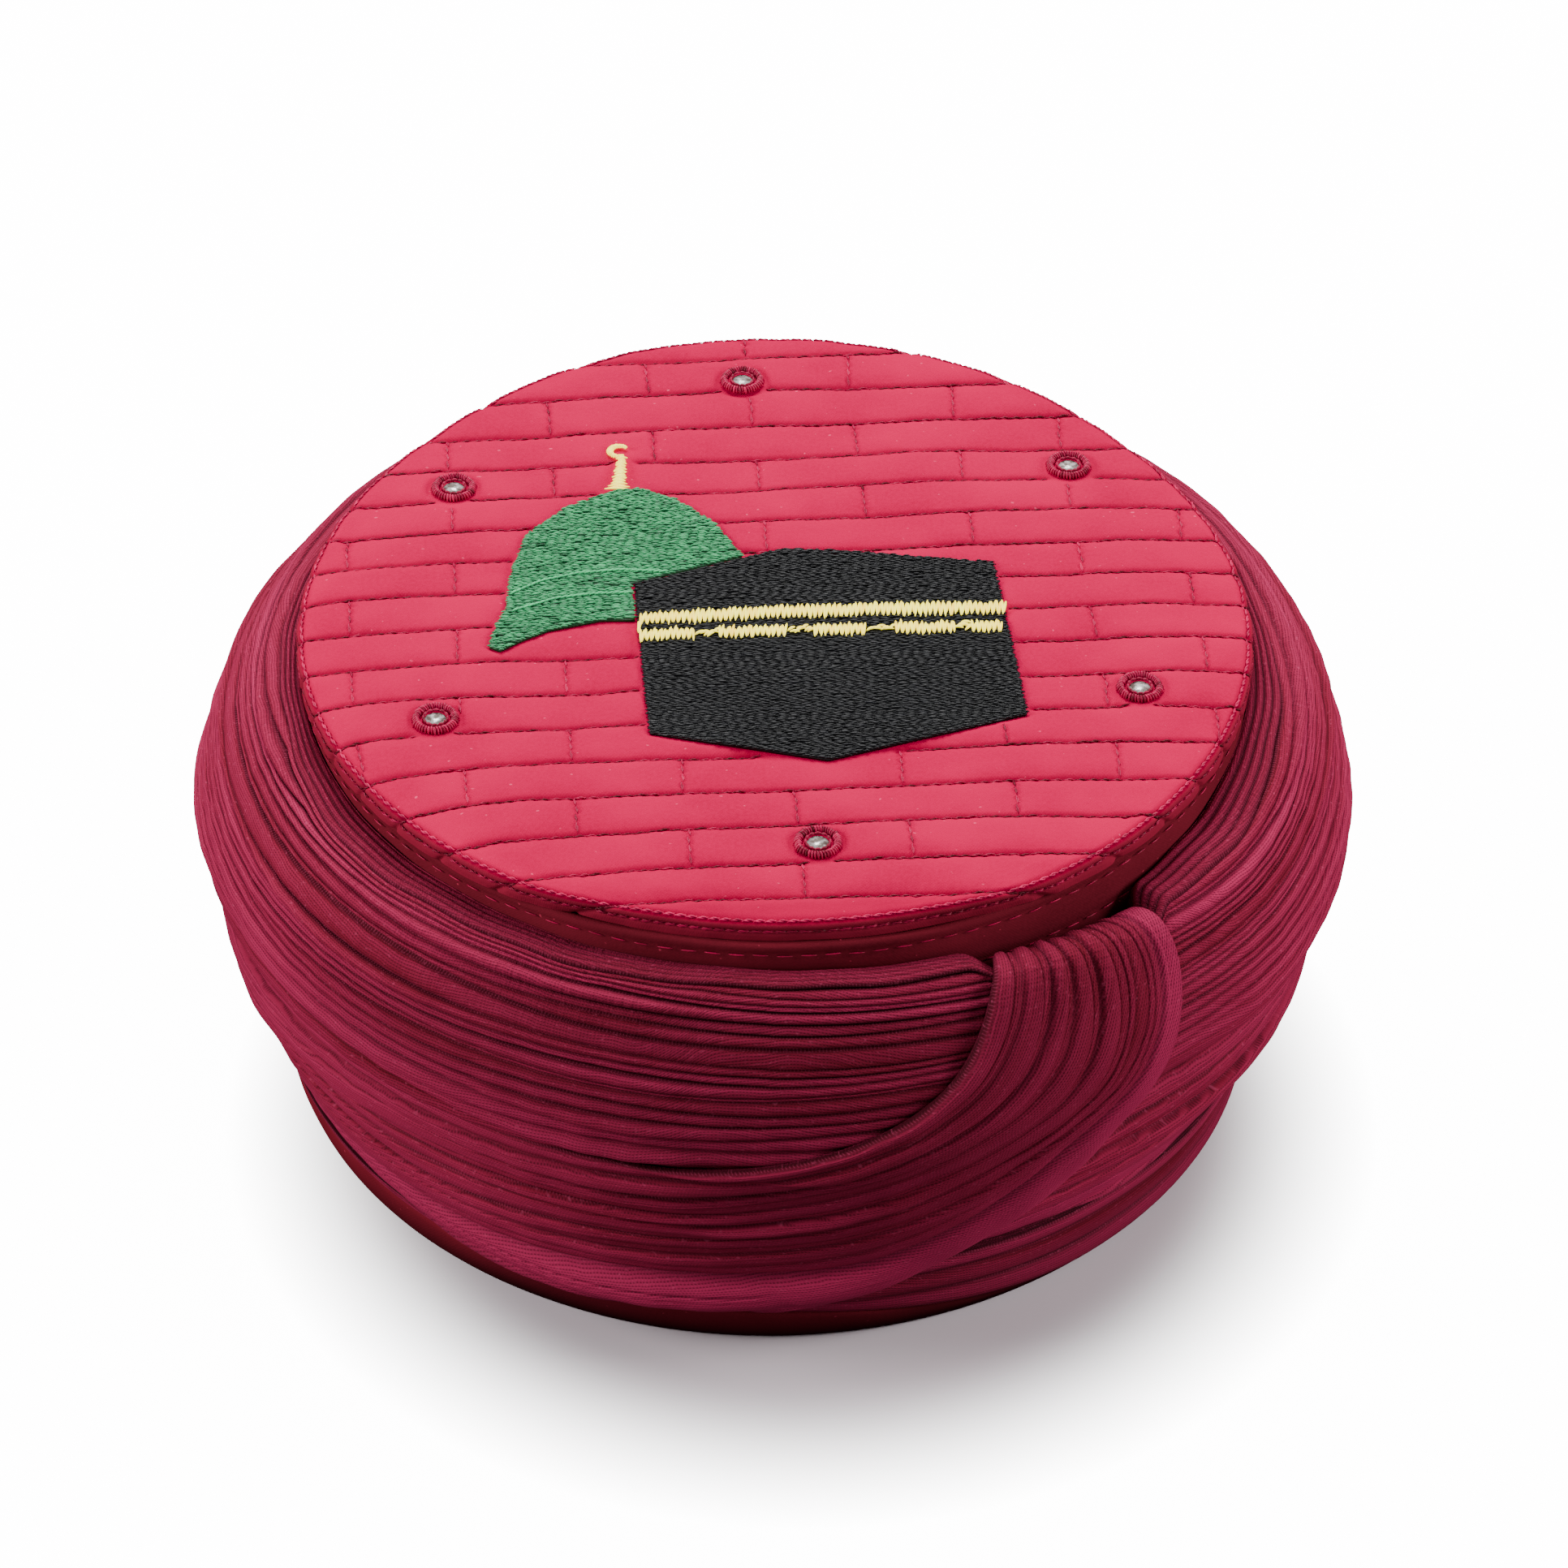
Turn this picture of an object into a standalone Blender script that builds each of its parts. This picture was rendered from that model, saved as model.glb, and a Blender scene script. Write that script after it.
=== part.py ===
"""A ready-wound turban: a stiff round cap with a quilted crown, wound with pleated cloth.

Metres, +Z up. The turban stands on its foot at Z = 0, its front faces -Y, and the origin is the
centre of the foot. Azimuths are in degrees round +Z: 0 is the front, -Y, 90 the right of the
picture, +X, and 180 the back.
"""

import math
from collections import namedtuple

import bmesh
import bpy
import numpy as np

# Driving sizes
MM = 0.001
CROWN_RADIUS = 91.0 * MM  # the flat quilted disc
CROWN_TOP = 97.4 * MM  # its upper face, between the quilting rows
CROWN_THICKNESS = 4.0 * MM  # padding and two cloths
CROWN_EDGE_ROUND = 1.6 * MM
CAP_WALL = 2.4 * MM  # stiffened band, covered in cloth
CAP_TOP_RADIUS = 90.4 * MM
CAP_FOOT_RADIUS = 93.8 * MM
FOOT_RADIUS = 95.3 * MM  # outside of the hem that the turban stands on
HEM_HEIGHT = 8.0 * MM
HEM_CLOTH = 1.2 * MM
HEM_FLARE = 1.4 * MM  # the hem opens out towards the winding above it
GAP = 0.3 * MM  # between any two pieces
ROUND_STEPS = 64

# Quilting: straight rows, sewn a little askew
ROW_COUNT = 16
ROW_PITCH = 10.4 * MM
FIRST_ROW = 82.7 * MM  # distance of the rearmost row from the centre
ROW_TURN = math.radians(4.25)
ROW_DEPTH = 0.7 * MM
ROW_WIDTH = 2.6 * MM
ROW_LENGTH = 2.4 * CROWN_RADIUS  # past the disc at both ends

# Outside of the winding, from the hem up
ProfileRow = namedtuple("ProfileRow", "height radius")
WINDING_PROFILE = [
    ProfileRow(8.0 * MM, 97.0 * MM),
    ProfileRow(20.0 * MM, 100.6 * MM),
    ProfileRow(34.5 * MM, 106.3 * MM),
    ProfileRow(49.0 * MM, 110.6 * MM),
    ProfileRow(63.5 * MM, 111.6 * MM),
    ProfileRow(76.0 * MM, 107.4 * MM),
    ProfileRow(84.0 * MM, 102.7 * MM),
    ProfileRow(88.5 * MM, 98.9 * MM),
    ProfileRow(91.5 * MM, 93.6 * MM),
]

# Upper edge of the winding round the cap: it lies lower, and off the cap, at the front right
EdgeRow = namedtuple("EdgeRow", "azimuth height off_cap valley")
WINDING_EDGE = [
    EdgeRow(-180, 90.4 * MM, 0.5 * MM, 3.0 * MM),
    EdgeRow(-110, 89.8 * MM, 0.7 * MM, 3.0 * MM),
    EdgeRow(-60, 88.9 * MM, 1.0 * MM, 3.5 * MM),
    EdgeRow(-10, 88.9 * MM, 1.0 * MM, 4.0 * MM),
    EdgeRow(12, 88.7 * MM, 1.8 * MM, 7.0 * MM),
    EdgeRow(18, 88.4 * MM, 3.2 * MM, 12.0 * MM),
    EdgeRow(25, 83.4 * MM, 5.8 * MM, 20.0 * MM),
    EdgeRow(45, 83.0 * MM, 5.8 * MM, 20.0 * MM),
    EdgeRow(52, 85.2 * MM, 3.2 * MM, 14.0 * MM),
    EdgeRow(66, 86.0 * MM, 1.6 * MM, 8.0 * MM),
    EdgeRow(80, 89.2 * MM, 0.8 * MM, 4.0 * MM),
    EdgeRow(100, 90.6 * MM, 0.5 * MM, 3.5 * MM),
    EdgeRow(180, 90.6 * MM, 0.5 * MM, 3.5 * MM),
]
EDGE_ROUND = 0.9 * MM  # how far the edge's rounding reaches down
EDGE_INSET = 0.4 * MM

# Folds of the upper winding: where each one starts, as a share of the way from the upper edge
# down to the last turn, on the left and on the right of the turban, and how deep its groove is
FoldRow = namedtuple("FoldRow", "left right depth")
UPPER_FOLDS = [
    FoldRow(0.05, 0.06, 0.8 * MM),
    FoldRow(0.12, 0.16, 0.9 * MM),
    FoldRow(0.20, 0.25, 1.2 * MM),
    FoldRow(0.35, 0.34, 1.5 * MM),
    FoldRow(0.42, 0.42, 0.9 * MM),
    FoldRow(0.49, 0.51, 1.0 * MM),
    FoldRow(0.57, 0.59, 1.3 * MM),
    FoldRow(0.67, 0.68, 1.0 * MM),
    FoldRow(0.76, 0.78, 1.4 * MM),
    FoldRow(0.88, 0.89, 1.2 * MM),
]
FOLD_LIP = 0.3  # share of a fold's width between its crest and the groove below it
FOLD_UNDER = 0.06  # share of a fold's width that its groove lies under it
FOLD_LEVEL = 56.0 * MM  # height where the upper folds end, under the edge of the last turn

# The winding is sunk under the last turn, which lies flush with it all the way round the back,
# and pressed in a little more where that turn crosses the front
SunkRow = namedtuple("SunkRow", "azimuth depth low_height pressed")
SUNK_BAND = [
    SunkRow(-180, 3.8 * MM, 9.6 * MM, 0.0),
    SunkRow(-60, 3.8 * MM, 9.6 * MM, 0.0),
    SunkRow(-8, 1.4 * MM, 12.0 * MM, 1.6 * MM),
    SunkRow(6, 1.4 * MM, 17.0 * MM, 1.8 * MM),
    SunkRow(16, 2.4 * MM, 19.0 * MM, 1.8 * MM),
    SunkRow(36, 3.2 * MM, 18.0 * MM, 1.6 * MM),
    SunkRow(60, 3.8 * MM, 16.5 * MM, 0.0),
    SunkRow(110, 3.8 * MM, 9.6 * MM, 0.0),
    SunkRow(180, 3.8 * MM, 9.6 * MM, 0.0),
]
PRESSED_FROM = 40.0 * MM  # below this height the pressing fades out towards the hem
SUNK_SLOPE = 2.0 * MM
SUNK_LEVELS = (0.33, 0.67, 1.0)  # shares of the height between its two slopes
VALLEY_ROUND = 1.2 * MM

# The last turn of cloth, from its end tucked in at the front right, down across the front and
# round the left, the back and the right, until it passes under its own beginning. Each row is one
# line across the cloth, from its upper to its lower edge. inset is how far it lies inside the
# winding's outline, and lean which way its face looks: 0 outwards, 90 up, 180 at the cap.
TurnRow = namedtuple("TurnRow", "steps upper_az upper_z lower_az lower_z inset lean thick")
LAST_TURN = [
    TurnRow(1, 27, 77.0 * MM, 43, 76.5 * MM, 11.2 * MM, 180, 1.8 * MM),
    TurnRow(1, 26, 83.4 * MM, 44, 83.0 * MM, 7.0 * MM, 150, 2.2 * MM),
    TurnRow(1, 25, 85.2 * MM, 44.5, 84.8 * MM, 3.0 * MM, 90, 2.6 * MM),
    TurnRow(1, 24, 84.6 * MM, 45, 84.0 * MM, 0.2 * MM, 35, 3.0 * MM),
    TurnRow(2, 22, 79.5 * MM, 44.5, 79.0 * MM, 0.0, 0, 3.0 * MM),
    TurnRow(2, 16, 70.0 * MM, 41, 63.0 * MM, 0.0, 0, 3.0 * MM),
    TurnRow(2, 8, 62.0 * MM, 36, 50.0 * MM, 0.0, 0, 3.0 * MM),
    TurnRow(2, -2, 57.0 * MM, 28, 36.5 * MM, 0.0, 0, 3.0 * MM),
    TurnRow(3, -14, 55.0 * MM, 18, 24.0 * MM, 0.0, 0, 3.0 * MM),
    TurnRow(3, -28, 54.5 * MM, 4, 15.5 * MM, 0.0, 0, 3.1 * MM),
    TurnRow(4, -44, 54.5 * MM, -16, 12.2 * MM, 0.0, 0, 3.2 * MM),
    TurnRow(4, -62, 54.5 * MM, -44, 11.0 * MM, 0.0, 0, 3.2 * MM),
    TurnRow(4, -84, 54.5 * MM, -76, 11.0 * MM, 0.0, 0, 3.2 * MM),
    TurnRow(16, -108, 54.5 * MM, -108, 11.0 * MM, 0.0, 0, 3.2 * MM),
    TurnRow(6, -240, 54.5 * MM, -240, 11.0 * MM, 0.0, 0, 3.2 * MM),
    TurnRow(4, -290, 54.0 * MM, -290, 17.5 * MM, 0.0, 0, 3.0 * MM),
    TurnRow(1, -326, 53.0 * MM, -326, 20.5 * MM, 0.0, 0, 2.2 * MM),
    TurnRow(1, -338, 52.5 * MM, -338, 22.0 * MM, 0.0, 0, 1.4 * MM),
    TurnRow(0, -344, 52.0 * MM, -344, 23.0 * MM, 0.0, 0, 1.0 * MM),
]
TURN_LIFT = 0.8 * MM  # clear of the winding beneath
CROSSING_START = -2  # azimuths between which the beginning rises over the cloth's own far end
CROSSING = 12
CROSSING_ROWS = 9  # rows of the table that cross it

# Pleats across the last turn, from its upper edge down: share of its width, and crest height
PleatRow = namedtuple("PleatRow", "share crest")
TURN_PLEATS = [
    PleatRow(0.10, 0.5 * MM),
    PleatRow(0.08, 0.2 * MM),
    PleatRow(0.13, 0.6 * MM),
    PleatRow(0.07, 0.1 * MM),
    PleatRow(0.12, 0.5 * MM),
    PleatRow(0.09, 0.2 * MM),
    PleatRow(0.16, 0.4 * MM),
    PleatRow(0.10, 0.2 * MM),
    PleatRow(0.15, 0.9 * MM),
]
PLEAT_GROOVE = 0.9 * MM
PLEAT_ROOM = 0.9 * MM  # part of the turn's thickness that is left to the pleats
PLEAT_CREST = 0.45  # where in its width a pleat is highest
LEAST_CLOTH = 0.4 * MM
EDGE_LEVEL = 0.35  # share of its thickness where the turn's two edges lie
INNER_STEPS = 8  # across the last turn's plain inner face

# Embroidery on the crown, seen from above: x to the right, y to the back, in millimetres
PATCH_THICKNESS = 0.6 * MM
BAND_THICKNESS = 0.4 * MM
OutlinePoint = namedtuple("OutlinePoint", "x y")
BUILDING_OUTLINE = [
    OutlinePoint(-27.0, 9.5),
    OutlinePoint(2.0, 21.5),
    OutlinePoint(15.0, 20.5),
    OutlinePoint(42.0, 17.5),
    OutlinePoint(47.0, -29.5),
    OutlinePoint(10.0, -43.5),
    OutlinePoint(-23.0, -36.0),
]
DOME_OUTLINE = [
    OutlinePoint(-52.0, -11.5),
    OutlinePoint(-54.0, -10.2),
    OutlinePoint(-52.8, -3.0),
    OutlinePoint(-51.2, 2.0),
    OutlinePoint(-51.0, 12.0),
    OutlinePoint(-48.5, 25.0),
    OutlinePoint(-41.0, 34.5),
    OutlinePoint(-31.0, 40.3),
    OutlinePoint(-27.0, 40.8),
    OutlinePoint(-20.0, 37.5),
    OutlinePoint(-12.0, 29.5),
    OutlinePoint(-6.5, 19.0),
    OutlinePoint(-28.0, 9.9),
    OutlinePoint(-26.7, -1.6),
    OutlinePoint(-33.0, -1.7),
    OutlinePoint(-43.0, -5.0),
    OutlinePoint(-48.0, -8.2),
]
# Gold bands across the building: middle of the band at its left and right ends, and its height
BAND_LEFT = -24.6
BAND_RIGHT = 43.6
BandRow = namedtuple("BandRow", "name left_y right_y height")
GOLD_BANDS = [
    BandRow("gold_band_upper", -1.9, 2.5, 3.7),
    BandRow("gold_band_lower", -7.1, -3.6, 3.3),
]
# The lower band narrows between its blocks: where each neck is, as a share of the length
BAND_NECKS = (0.155, 0.35, 0.55, 0.79)
NECK_WIDTH = 0.035
NECK_HEIGHT = 0.22
BAND_STEPS = 40

# Finial of the dome: shaft half widths from its foot up, then a crescent open to the right
FINIAL_X = -30.8
ShaftRow = namedtuple("ShaftRow", "y half")
FINIAL_SHAFT = [
    ShaftRow(41.6, 3.0),
    ShaftRow(43.6, 1.2),
    ShaftRow(45.4, 1.6),
    ShaftRow(47.0, 0.9),
    ShaftRow(48.6, 1.3),
    ShaftRow(50.4, 0.8),
]
CRESCENT_Y = 53.4
CRESCENT_OUTER = 2.5
CRESCENT_INNER = 1.6
CRESCENT_SHIFT = 0.5
CRESCENT_TIP = 62  # degrees from +X to the tips of its outside
CRESCENT_TIP_SLIM = 4  # degrees by which the inside reaches less far
CRESCENT_FOOT = 18  # degrees to either side of its lowest point where it meets the shaft
CRESCENT_STEPS = 14

# Mirrors, sewn down in raised rings
MirrorRow = namedtuple("MirrorRow", "x y")
MIRRORS = [
    MirrorRow(-7.0, 77.5),
    MirrorRow(58.0, 50.0),
    MirrorRow(68.5, -21.0),
    MirrorRow(8.0, -67.0),
    MirrorRow(-63.0, -32.0),
    MirrorRow(-63.5, 41.0),
]
MIRROR_RADIUS = 1.9 * MM
MIRROR_THICKNESS = 0.4 * MM
RING_RADIUS = 3.25 * MM  # to the middle of the stitched ring
RING_HALF_WIDTH = 1.0 * MM
RING_HALF_HEIGHT = 0.5 * MM
MIRROR_STEPS = 12
RING_SIDES = 6


def clear_scene():
    for item in list(bpy.data.objects):
        bpy.data.objects.remove(item, do_unlink=True)


def collection(name):
    group = bpy.data.collections.new(name)
    bpy.context.scene.collection.children.link(group)
    return group


def material(name, colour, roughness, metallic=0.0):
    made = bpy.data.materials.new(name)
    made.use_nodes = True
    shader = made.node_tree.nodes["Principled BSDF"]
    shader.inputs["Base Color"].default_value = (*colour, 1.0)
    shader.inputs["Roughness"].default_value = roughness
    shader.inputs["Metallic"].default_value = metallic
    return made


def add_object(name, data, look, group):
    piece = bpy.data.objects.new(name, data)
    data.materials.append(look)
    group.objects.link(piece)
    return piece


def smooth_shade(piece, angle=35):
    piece.data.shade_smooth()
    piece.data.set_sharp_from_angle(angle=math.radians(angle))


def hermite(xs, ys, x):
    """A smooth curve through (xs, ys), read at x."""
    xs = np.array(xs, float)
    ys = np.array(ys, float)
    slopes = np.gradient(ys, xs)
    x = min(max(x, xs[0]), xs[-1])
    i = min(int(np.searchsorted(xs, x, side="right")) - 1, len(xs) - 2)
    span = xs[i + 1] - xs[i]
    t = (x - xs[i]) / span
    start = (1 + 2 * t) * (1 - t) ** 2 * ys[i] + t * (1 - t) ** 2 * span * slopes[i]
    end = t * t * (3 - 2 * t) * ys[i + 1] + t * t * (t - 1) * span * slopes[i + 1]
    return start + end


def eased(t):
    t = min(max(t, 0.0), 1.0)
    return t * t * (3 - 2 * t)


def read_round(table, azimuth, column):
    """Reads a column of a table of rows by azimuth, easing from row to row."""
    azimuth = (azimuth + 180) % 360 - 180
    for before, after in zip(table, table[1:]):
        if azimuth <= after.azimuth:
            share = eased((azimuth - before.azimuth) / (after.azimuth - before.azimuth))
            return getattr(before, column) * (1 - share) + getattr(after, column) * share
    return getattr(table[-1], column)


def place(azimuth, radius, height):
    turn = math.radians(azimuth)
    return (radius * math.sin(turn), -radius * math.cos(turn), height)


def cap_radius(height):
    """Outside of the cap's band, which narrows a little upwards."""
    share = height / (CROWN_TOP - CROWN_THICKNESS)
    return CAP_FOOT_RADIUS + (CAP_TOP_RADIUS - CAP_FOOT_RADIUS) * share


def winding_radius(azimuth, height):
    """Outline of the winding, pressed in where the last turn crosses the front."""
    heights = [row.height for row in WINDING_PROFILE]
    radii = [row.radius for row in WINDING_PROFILE]
    pressed = read_round(SUNK_BAND, azimuth, "pressed") * eased(height / PRESSED_FROM)
    return hermite(heights, radii, height) - pressed


def turned(name, profile, look, group):
    """A closed profile of (radius, height), turned round Z."""
    mesh = bpy.data.meshes.new(name)
    points = [(radius, 0.0, height) for radius, height in profile]
    edges = [(i, (i + 1) % len(points)) for i in range(len(points))]
    mesh.from_pydata(points, edges, [])
    piece = add_object(name, mesh, look, group)
    screw = piece.modifiers.new("Turn", "SCREW")
    screw.steps = ROUND_STEPS
    screw.render_steps = ROUND_STEPS
    screw.merge_threshold = 0.0001
    screw.use_merge_vertices = True
    screw.use_smooth_shade = True
    return piece


def lofted(name, sections, closed, look, group):
    """One skin over a row of sections, each a loop of points. An open row gets end faces."""
    shape = bmesh.new()
    loops = [[shape.verts.new(point) for point in section] for section in sections]
    size = len(loops[0])
    pairs = list(zip(loops, loops[1:]))
    if closed:
        pairs.append((loops[-1], loops[0]))
    for first, second in pairs:
        for i in range(size):
            j = (i + 1) % size
            shape.faces.new((first[i], first[j], second[j], second[i]))
    if not closed:
        ends = [shape.faces.new(loops[0]), shape.faces.new(loops[-1])]
        bmesh.ops.triangulate(shape, faces=ends)
    bmesh.ops.recalc_face_normals(shape, faces=shape.faces)
    mesh = bpy.data.meshes.new(name)
    shape.to_mesh(mesh)
    shape.free()
    piece = add_object(name, mesh, look, group)
    smooth_shade(piece)
    return piece


def flat_outline(name, points, bottom, thickness, look, group):
    """A flat plate from an outline of (x, y) in metres."""
    curve = bpy.data.curves.new(name, "CURVE")
    curve.dimensions = "2D"
    curve.fill_mode = "BOTH"
    curve.extrude = thickness / 2
    spline = curve.splines.new("POLY")
    spline.points.add(len(points) - 1)
    for point, (x, y) in zip(spline.points, points):
        point.co = (x, y, 0.0, 1.0)
    spline.use_cyclic_u = True
    piece = add_object(name, curve, look, group)
    piece.location.z = bottom + thickness / 2
    return piece


def make_crown(look, group, tools):
    """The padded disc, with a groove pressed in along each quilting row."""
    bottom = CROWN_TOP - CROWN_THICKNESS
    shape = bmesh.new()
    bmesh.ops.create_cone(
        shape,
        cap_ends=True,
        segments=ROUND_STEPS,
        radius1=CROWN_RADIUS,
        radius2=CROWN_RADIUS,
        depth=CROWN_THICKNESS,
    )
    bmesh.ops.translate(shape, verts=shape.verts, vec=(0, 0, bottom + CROWN_THICKNESS / 2))
    mesh = bpy.data.meshes.new("crown_top")
    shape.to_mesh(mesh)
    shape.free()
    crown = add_object("crown_top", mesh, look, group)
    edge = crown.modifiers.new("Round edge", "BEVEL")
    edge.width = CROWN_EDGE_ROUND
    edge.segments = 2
    edge.limit_method = "ANGLE"
    edge.angle_limit = math.radians(60)

    rows = bmesh.new()
    for row in range(ROW_COUNT):
        offset = FIRST_ROW - row * ROW_PITCH
        found = bmesh.ops.create_cone(
            rows,
            cap_ends=True,
            segments=4,
            radius1=1.0,
            radius2=1.0,
            depth=1.0,
        )
        for vert in found["verts"]:
            x, y, z = vert.co
            vert.co = (z * ROW_LENGTH, x * ROW_WIDTH / 2 + offset, y * ROW_DEPTH + CROWN_TOP)
    bmesh.ops.recalc_face_normals(rows, faces=rows.faces)
    cut_mesh = bpy.data.meshes.new("quilting_rows")
    rows.to_mesh(cut_mesh)
    rows.free()
    cutter = bpy.data.objects.new("quilting_rows", cut_mesh)
    tools.objects.link(cutter)
    cutter.rotation_euler.z = ROW_TURN
    cutter.hide_render = True
    cutter.display_type = "WIRE"
    cut = crown.modifiers.new("Quilting", "BOOLEAN")
    cut.object = cutter
    cut.operation = "DIFFERENCE"
    cut.solver = "EXACT"
    return crown


def make_side_band(look, group):
    low = HEM_CLOTH + GAP
    high = CROWN_TOP - CROWN_THICKNESS - GAP
    profile = [
        (cap_radius(high), high),
        (cap_radius(low), low),
        (cap_radius(low) - CAP_WALL, low),
        (cap_radius(high) - CAP_WALL, high),
    ]
    return turned("side_band", profile, look, group)


def make_foot_band(look, group):
    """The hem: cloth turned under the band's lower edge, up inside it and up outside it."""
    inner_low = cap_radius(HEM_CLOTH) - CAP_WALL - GAP
    inner_high = cap_radius(HEM_HEIGHT) - CAP_WALL - GAP
    profile = [
        (FOOT_RADIUS + HEM_FLARE, HEM_HEIGHT),
        (FOOT_RADIUS, HEM_CLOTH / 2),
        (FOOT_RADIUS - HEM_CLOTH / 2, 0.0),
        (inner_low - HEM_CLOTH / 2, 0.0),
        (inner_low - HEM_CLOTH, HEM_CLOTH / 2),
        (inner_high - HEM_CLOTH, HEM_HEIGHT),
        (inner_high, HEM_HEIGHT),
        (inner_low, HEM_CLOTH),
        (cap_radius(HEM_CLOTH) + GAP, HEM_CLOTH),
        (cap_radius(HEM_HEIGHT) + GAP, HEM_HEIGHT),
    ]
    return turned("foot_band", profile, look, group)


def sunk_depth(azimuth, height):
    """How far the winding lies inside its outline, to make room for the last turn."""
    depth = read_round(SUNK_BAND, azimuth, "depth")
    low = read_round(SUNK_BAND, azimuth, "low_height")
    rise = eased((height - low) / SUNK_SLOPE)
    fall = eased((FOLD_LEVEL - height) / SUNK_SLOPE)
    return depth * min(rise, fall)


def right_share(azimuth):
    """0 on the left of the turban and 1 on its right, easing over at the front and the back."""
    return 0.5 + 0.5 * math.sin(math.radians(azimuth))


def winding_section(azimuth):
    """One section of the winding: up its folded outside, over its edge, and down inside."""
    edge = read_round(WINDING_EDGE, azimuth, "height")
    off_cap = read_round(WINDING_EDGE, azimuth, "off_cap")
    valley = edge - read_round(WINDING_EDGE, azimuth, "valley")
    bottom = HEM_HEIGHT + GAP
    low = read_round(SUNK_BAND, azimuth, "low_height")
    span = edge - FOLD_LEVEL
    outside = [(winding_radius(azimuth, bottom), bottom)]
    plain_levels = [low, low + SUNK_SLOPE]
    middle = FOLD_LEVEL - low - 2 * SUNK_SLOPE
    plain_levels += [low + SUNK_SLOPE + middle * share for share in SUNK_LEVELS]
    for height in plain_levels:
        radius = winding_radius(azimuth, height) - sunk_depth(azimuth, height)
        outside.append((radius, height))
    share = right_share(azimuth)
    starts = [row.left * (1 - share) + row.right * share for row in UPPER_FOLDS]
    ends = starts[1:] + [1.0]
    for row, start, end in reversed(list(zip(UPPER_FOLDS, starts, ends))):
        crest = edge - span * (end - (end - start) * FOLD_LIP)
        groove = edge - span * (start + (end - start) * FOLD_UNDER)
        outside.append((winding_radius(azimuth, crest), crest))
        outside.append((winding_radius(azimuth, groove) - row.depth, groove))
    lip = winding_radius(azimuth, edge)
    inner_lip = cap_radius(edge) + off_cap
    outside.append((lip - EDGE_INSET, edge - EDGE_ROUND))
    over = [
        ((lip + inner_lip) / 2, edge),
        (inner_lip, edge - EDGE_ROUND),
        (inner_lip, valley + VALLEY_ROUND),
    ]
    inside = [(cap_radius(height) + GAP, height) for height in (valley, bottom)]
    return [place(azimuth, radius, height) for radius, height in outside + over + inside]


def make_winding(look, group):
    azimuths = [step * 360 / ROUND_STEPS - 180 for step in range(ROUND_STEPS)]
    sections = [winding_section(azimuth) for azimuth in azimuths]
    return lofted("upper_winding", sections, True, look, group)


def turn_rows():
    """The last turn's rows, filled in smoothly between those of the table."""
    columns = np.array([row[1:] for row in LAST_TURN], float)
    slopes = np.zeros_like(columns)
    lengths = np.array([max(row.steps, 1) for row in LAST_TURN], float)
    stations = np.concatenate([[0.0], np.cumsum(lengths[:-1])])
    for column in range(columns.shape[1]):
        slopes[:, column] = np.gradient(columns[:, column], stations)
    rows = []
    for i, row in enumerate(LAST_TURN[:-1]):
        span = stations[i + 1] - stations[i]
        for step in range(row.steps):
            t = step / row.steps
            blend = (1 + 2 * t) * (1 - t) ** 2 * columns[i]
            blend = blend + t * (1 - t) ** 2 * span * slopes[i]
            blend = blend + t * t * (3 - 2 * t) * columns[i + 1]
            blend = blend + t * t * (t - 1) * span * slopes[i + 1]
            rows.append((i, blend))
    rows.append((len(LAST_TURN) - 1, columns[-1]))
    return rows


def turn_base(index, azimuth, height, inset):
    """Radius of the last turn's inner face: on the winding, or over the turn's own far end."""
    sunk = sunk_depth(azimuth, height)
    if index < CROSSING_ROWS:
        sunk *= 1 - eased((azimuth - CROSSING_START) / (CROSSING - CROSSING_START))
    return winding_radius(azimuth, height) - sunk + TURN_LIFT - inset


def turn_section(index, values):
    """One section across the last turn: its pleated face, then its plain inner face."""
    upper_az, upper_z, lower_az, lower_z, inset, lean, thick = values
    tilt = math.radians(lean)
    face = thick - PLEAT_ROOM
    shares, offsets = [0.0], [thick * EDGE_LEVEL]
    start = 0.0
    for pleat in TURN_PLEATS[:-1]:
        shares.append(start + pleat.share * PLEAT_CREST)
        offsets.append(face + pleat.crest)
        start += pleat.share
        shares.append(start)
        offsets.append(max(face - PLEAT_GROOVE, LEAST_CLOTH))
    shares += [start + TURN_PLEATS[-1].share * PLEAT_CREST, 1.0]
    offsets += [face + TURN_PLEATS[-1].crest, thick * EDGE_LEVEL]
    inner_shares = [1 - step / INNER_STEPS for step in range(INNER_STEPS + 1)]
    points = []
    for share, offset in list(zip(shares, offsets)) + [(share, 0.0) for share in inner_shares]:
        azimuth = upper_az + (lower_az - upper_az) * share
        height = upper_z + (lower_z - upper_z) * share
        radius = turn_base(index, azimuth, height, inset)
        radius += offset * math.cos(tilt)
        points.append(place(azimuth, radius, height + offset * math.sin(tilt)))
    return points


def make_last_turn(look, group):
    sections = [turn_section(index, values) for index, values in turn_rows()]
    return lofted("last_turn", sections, False, look, group)


def in_metres(points):
    return [(x * MM, y * MM) for x, y in points]


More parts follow.
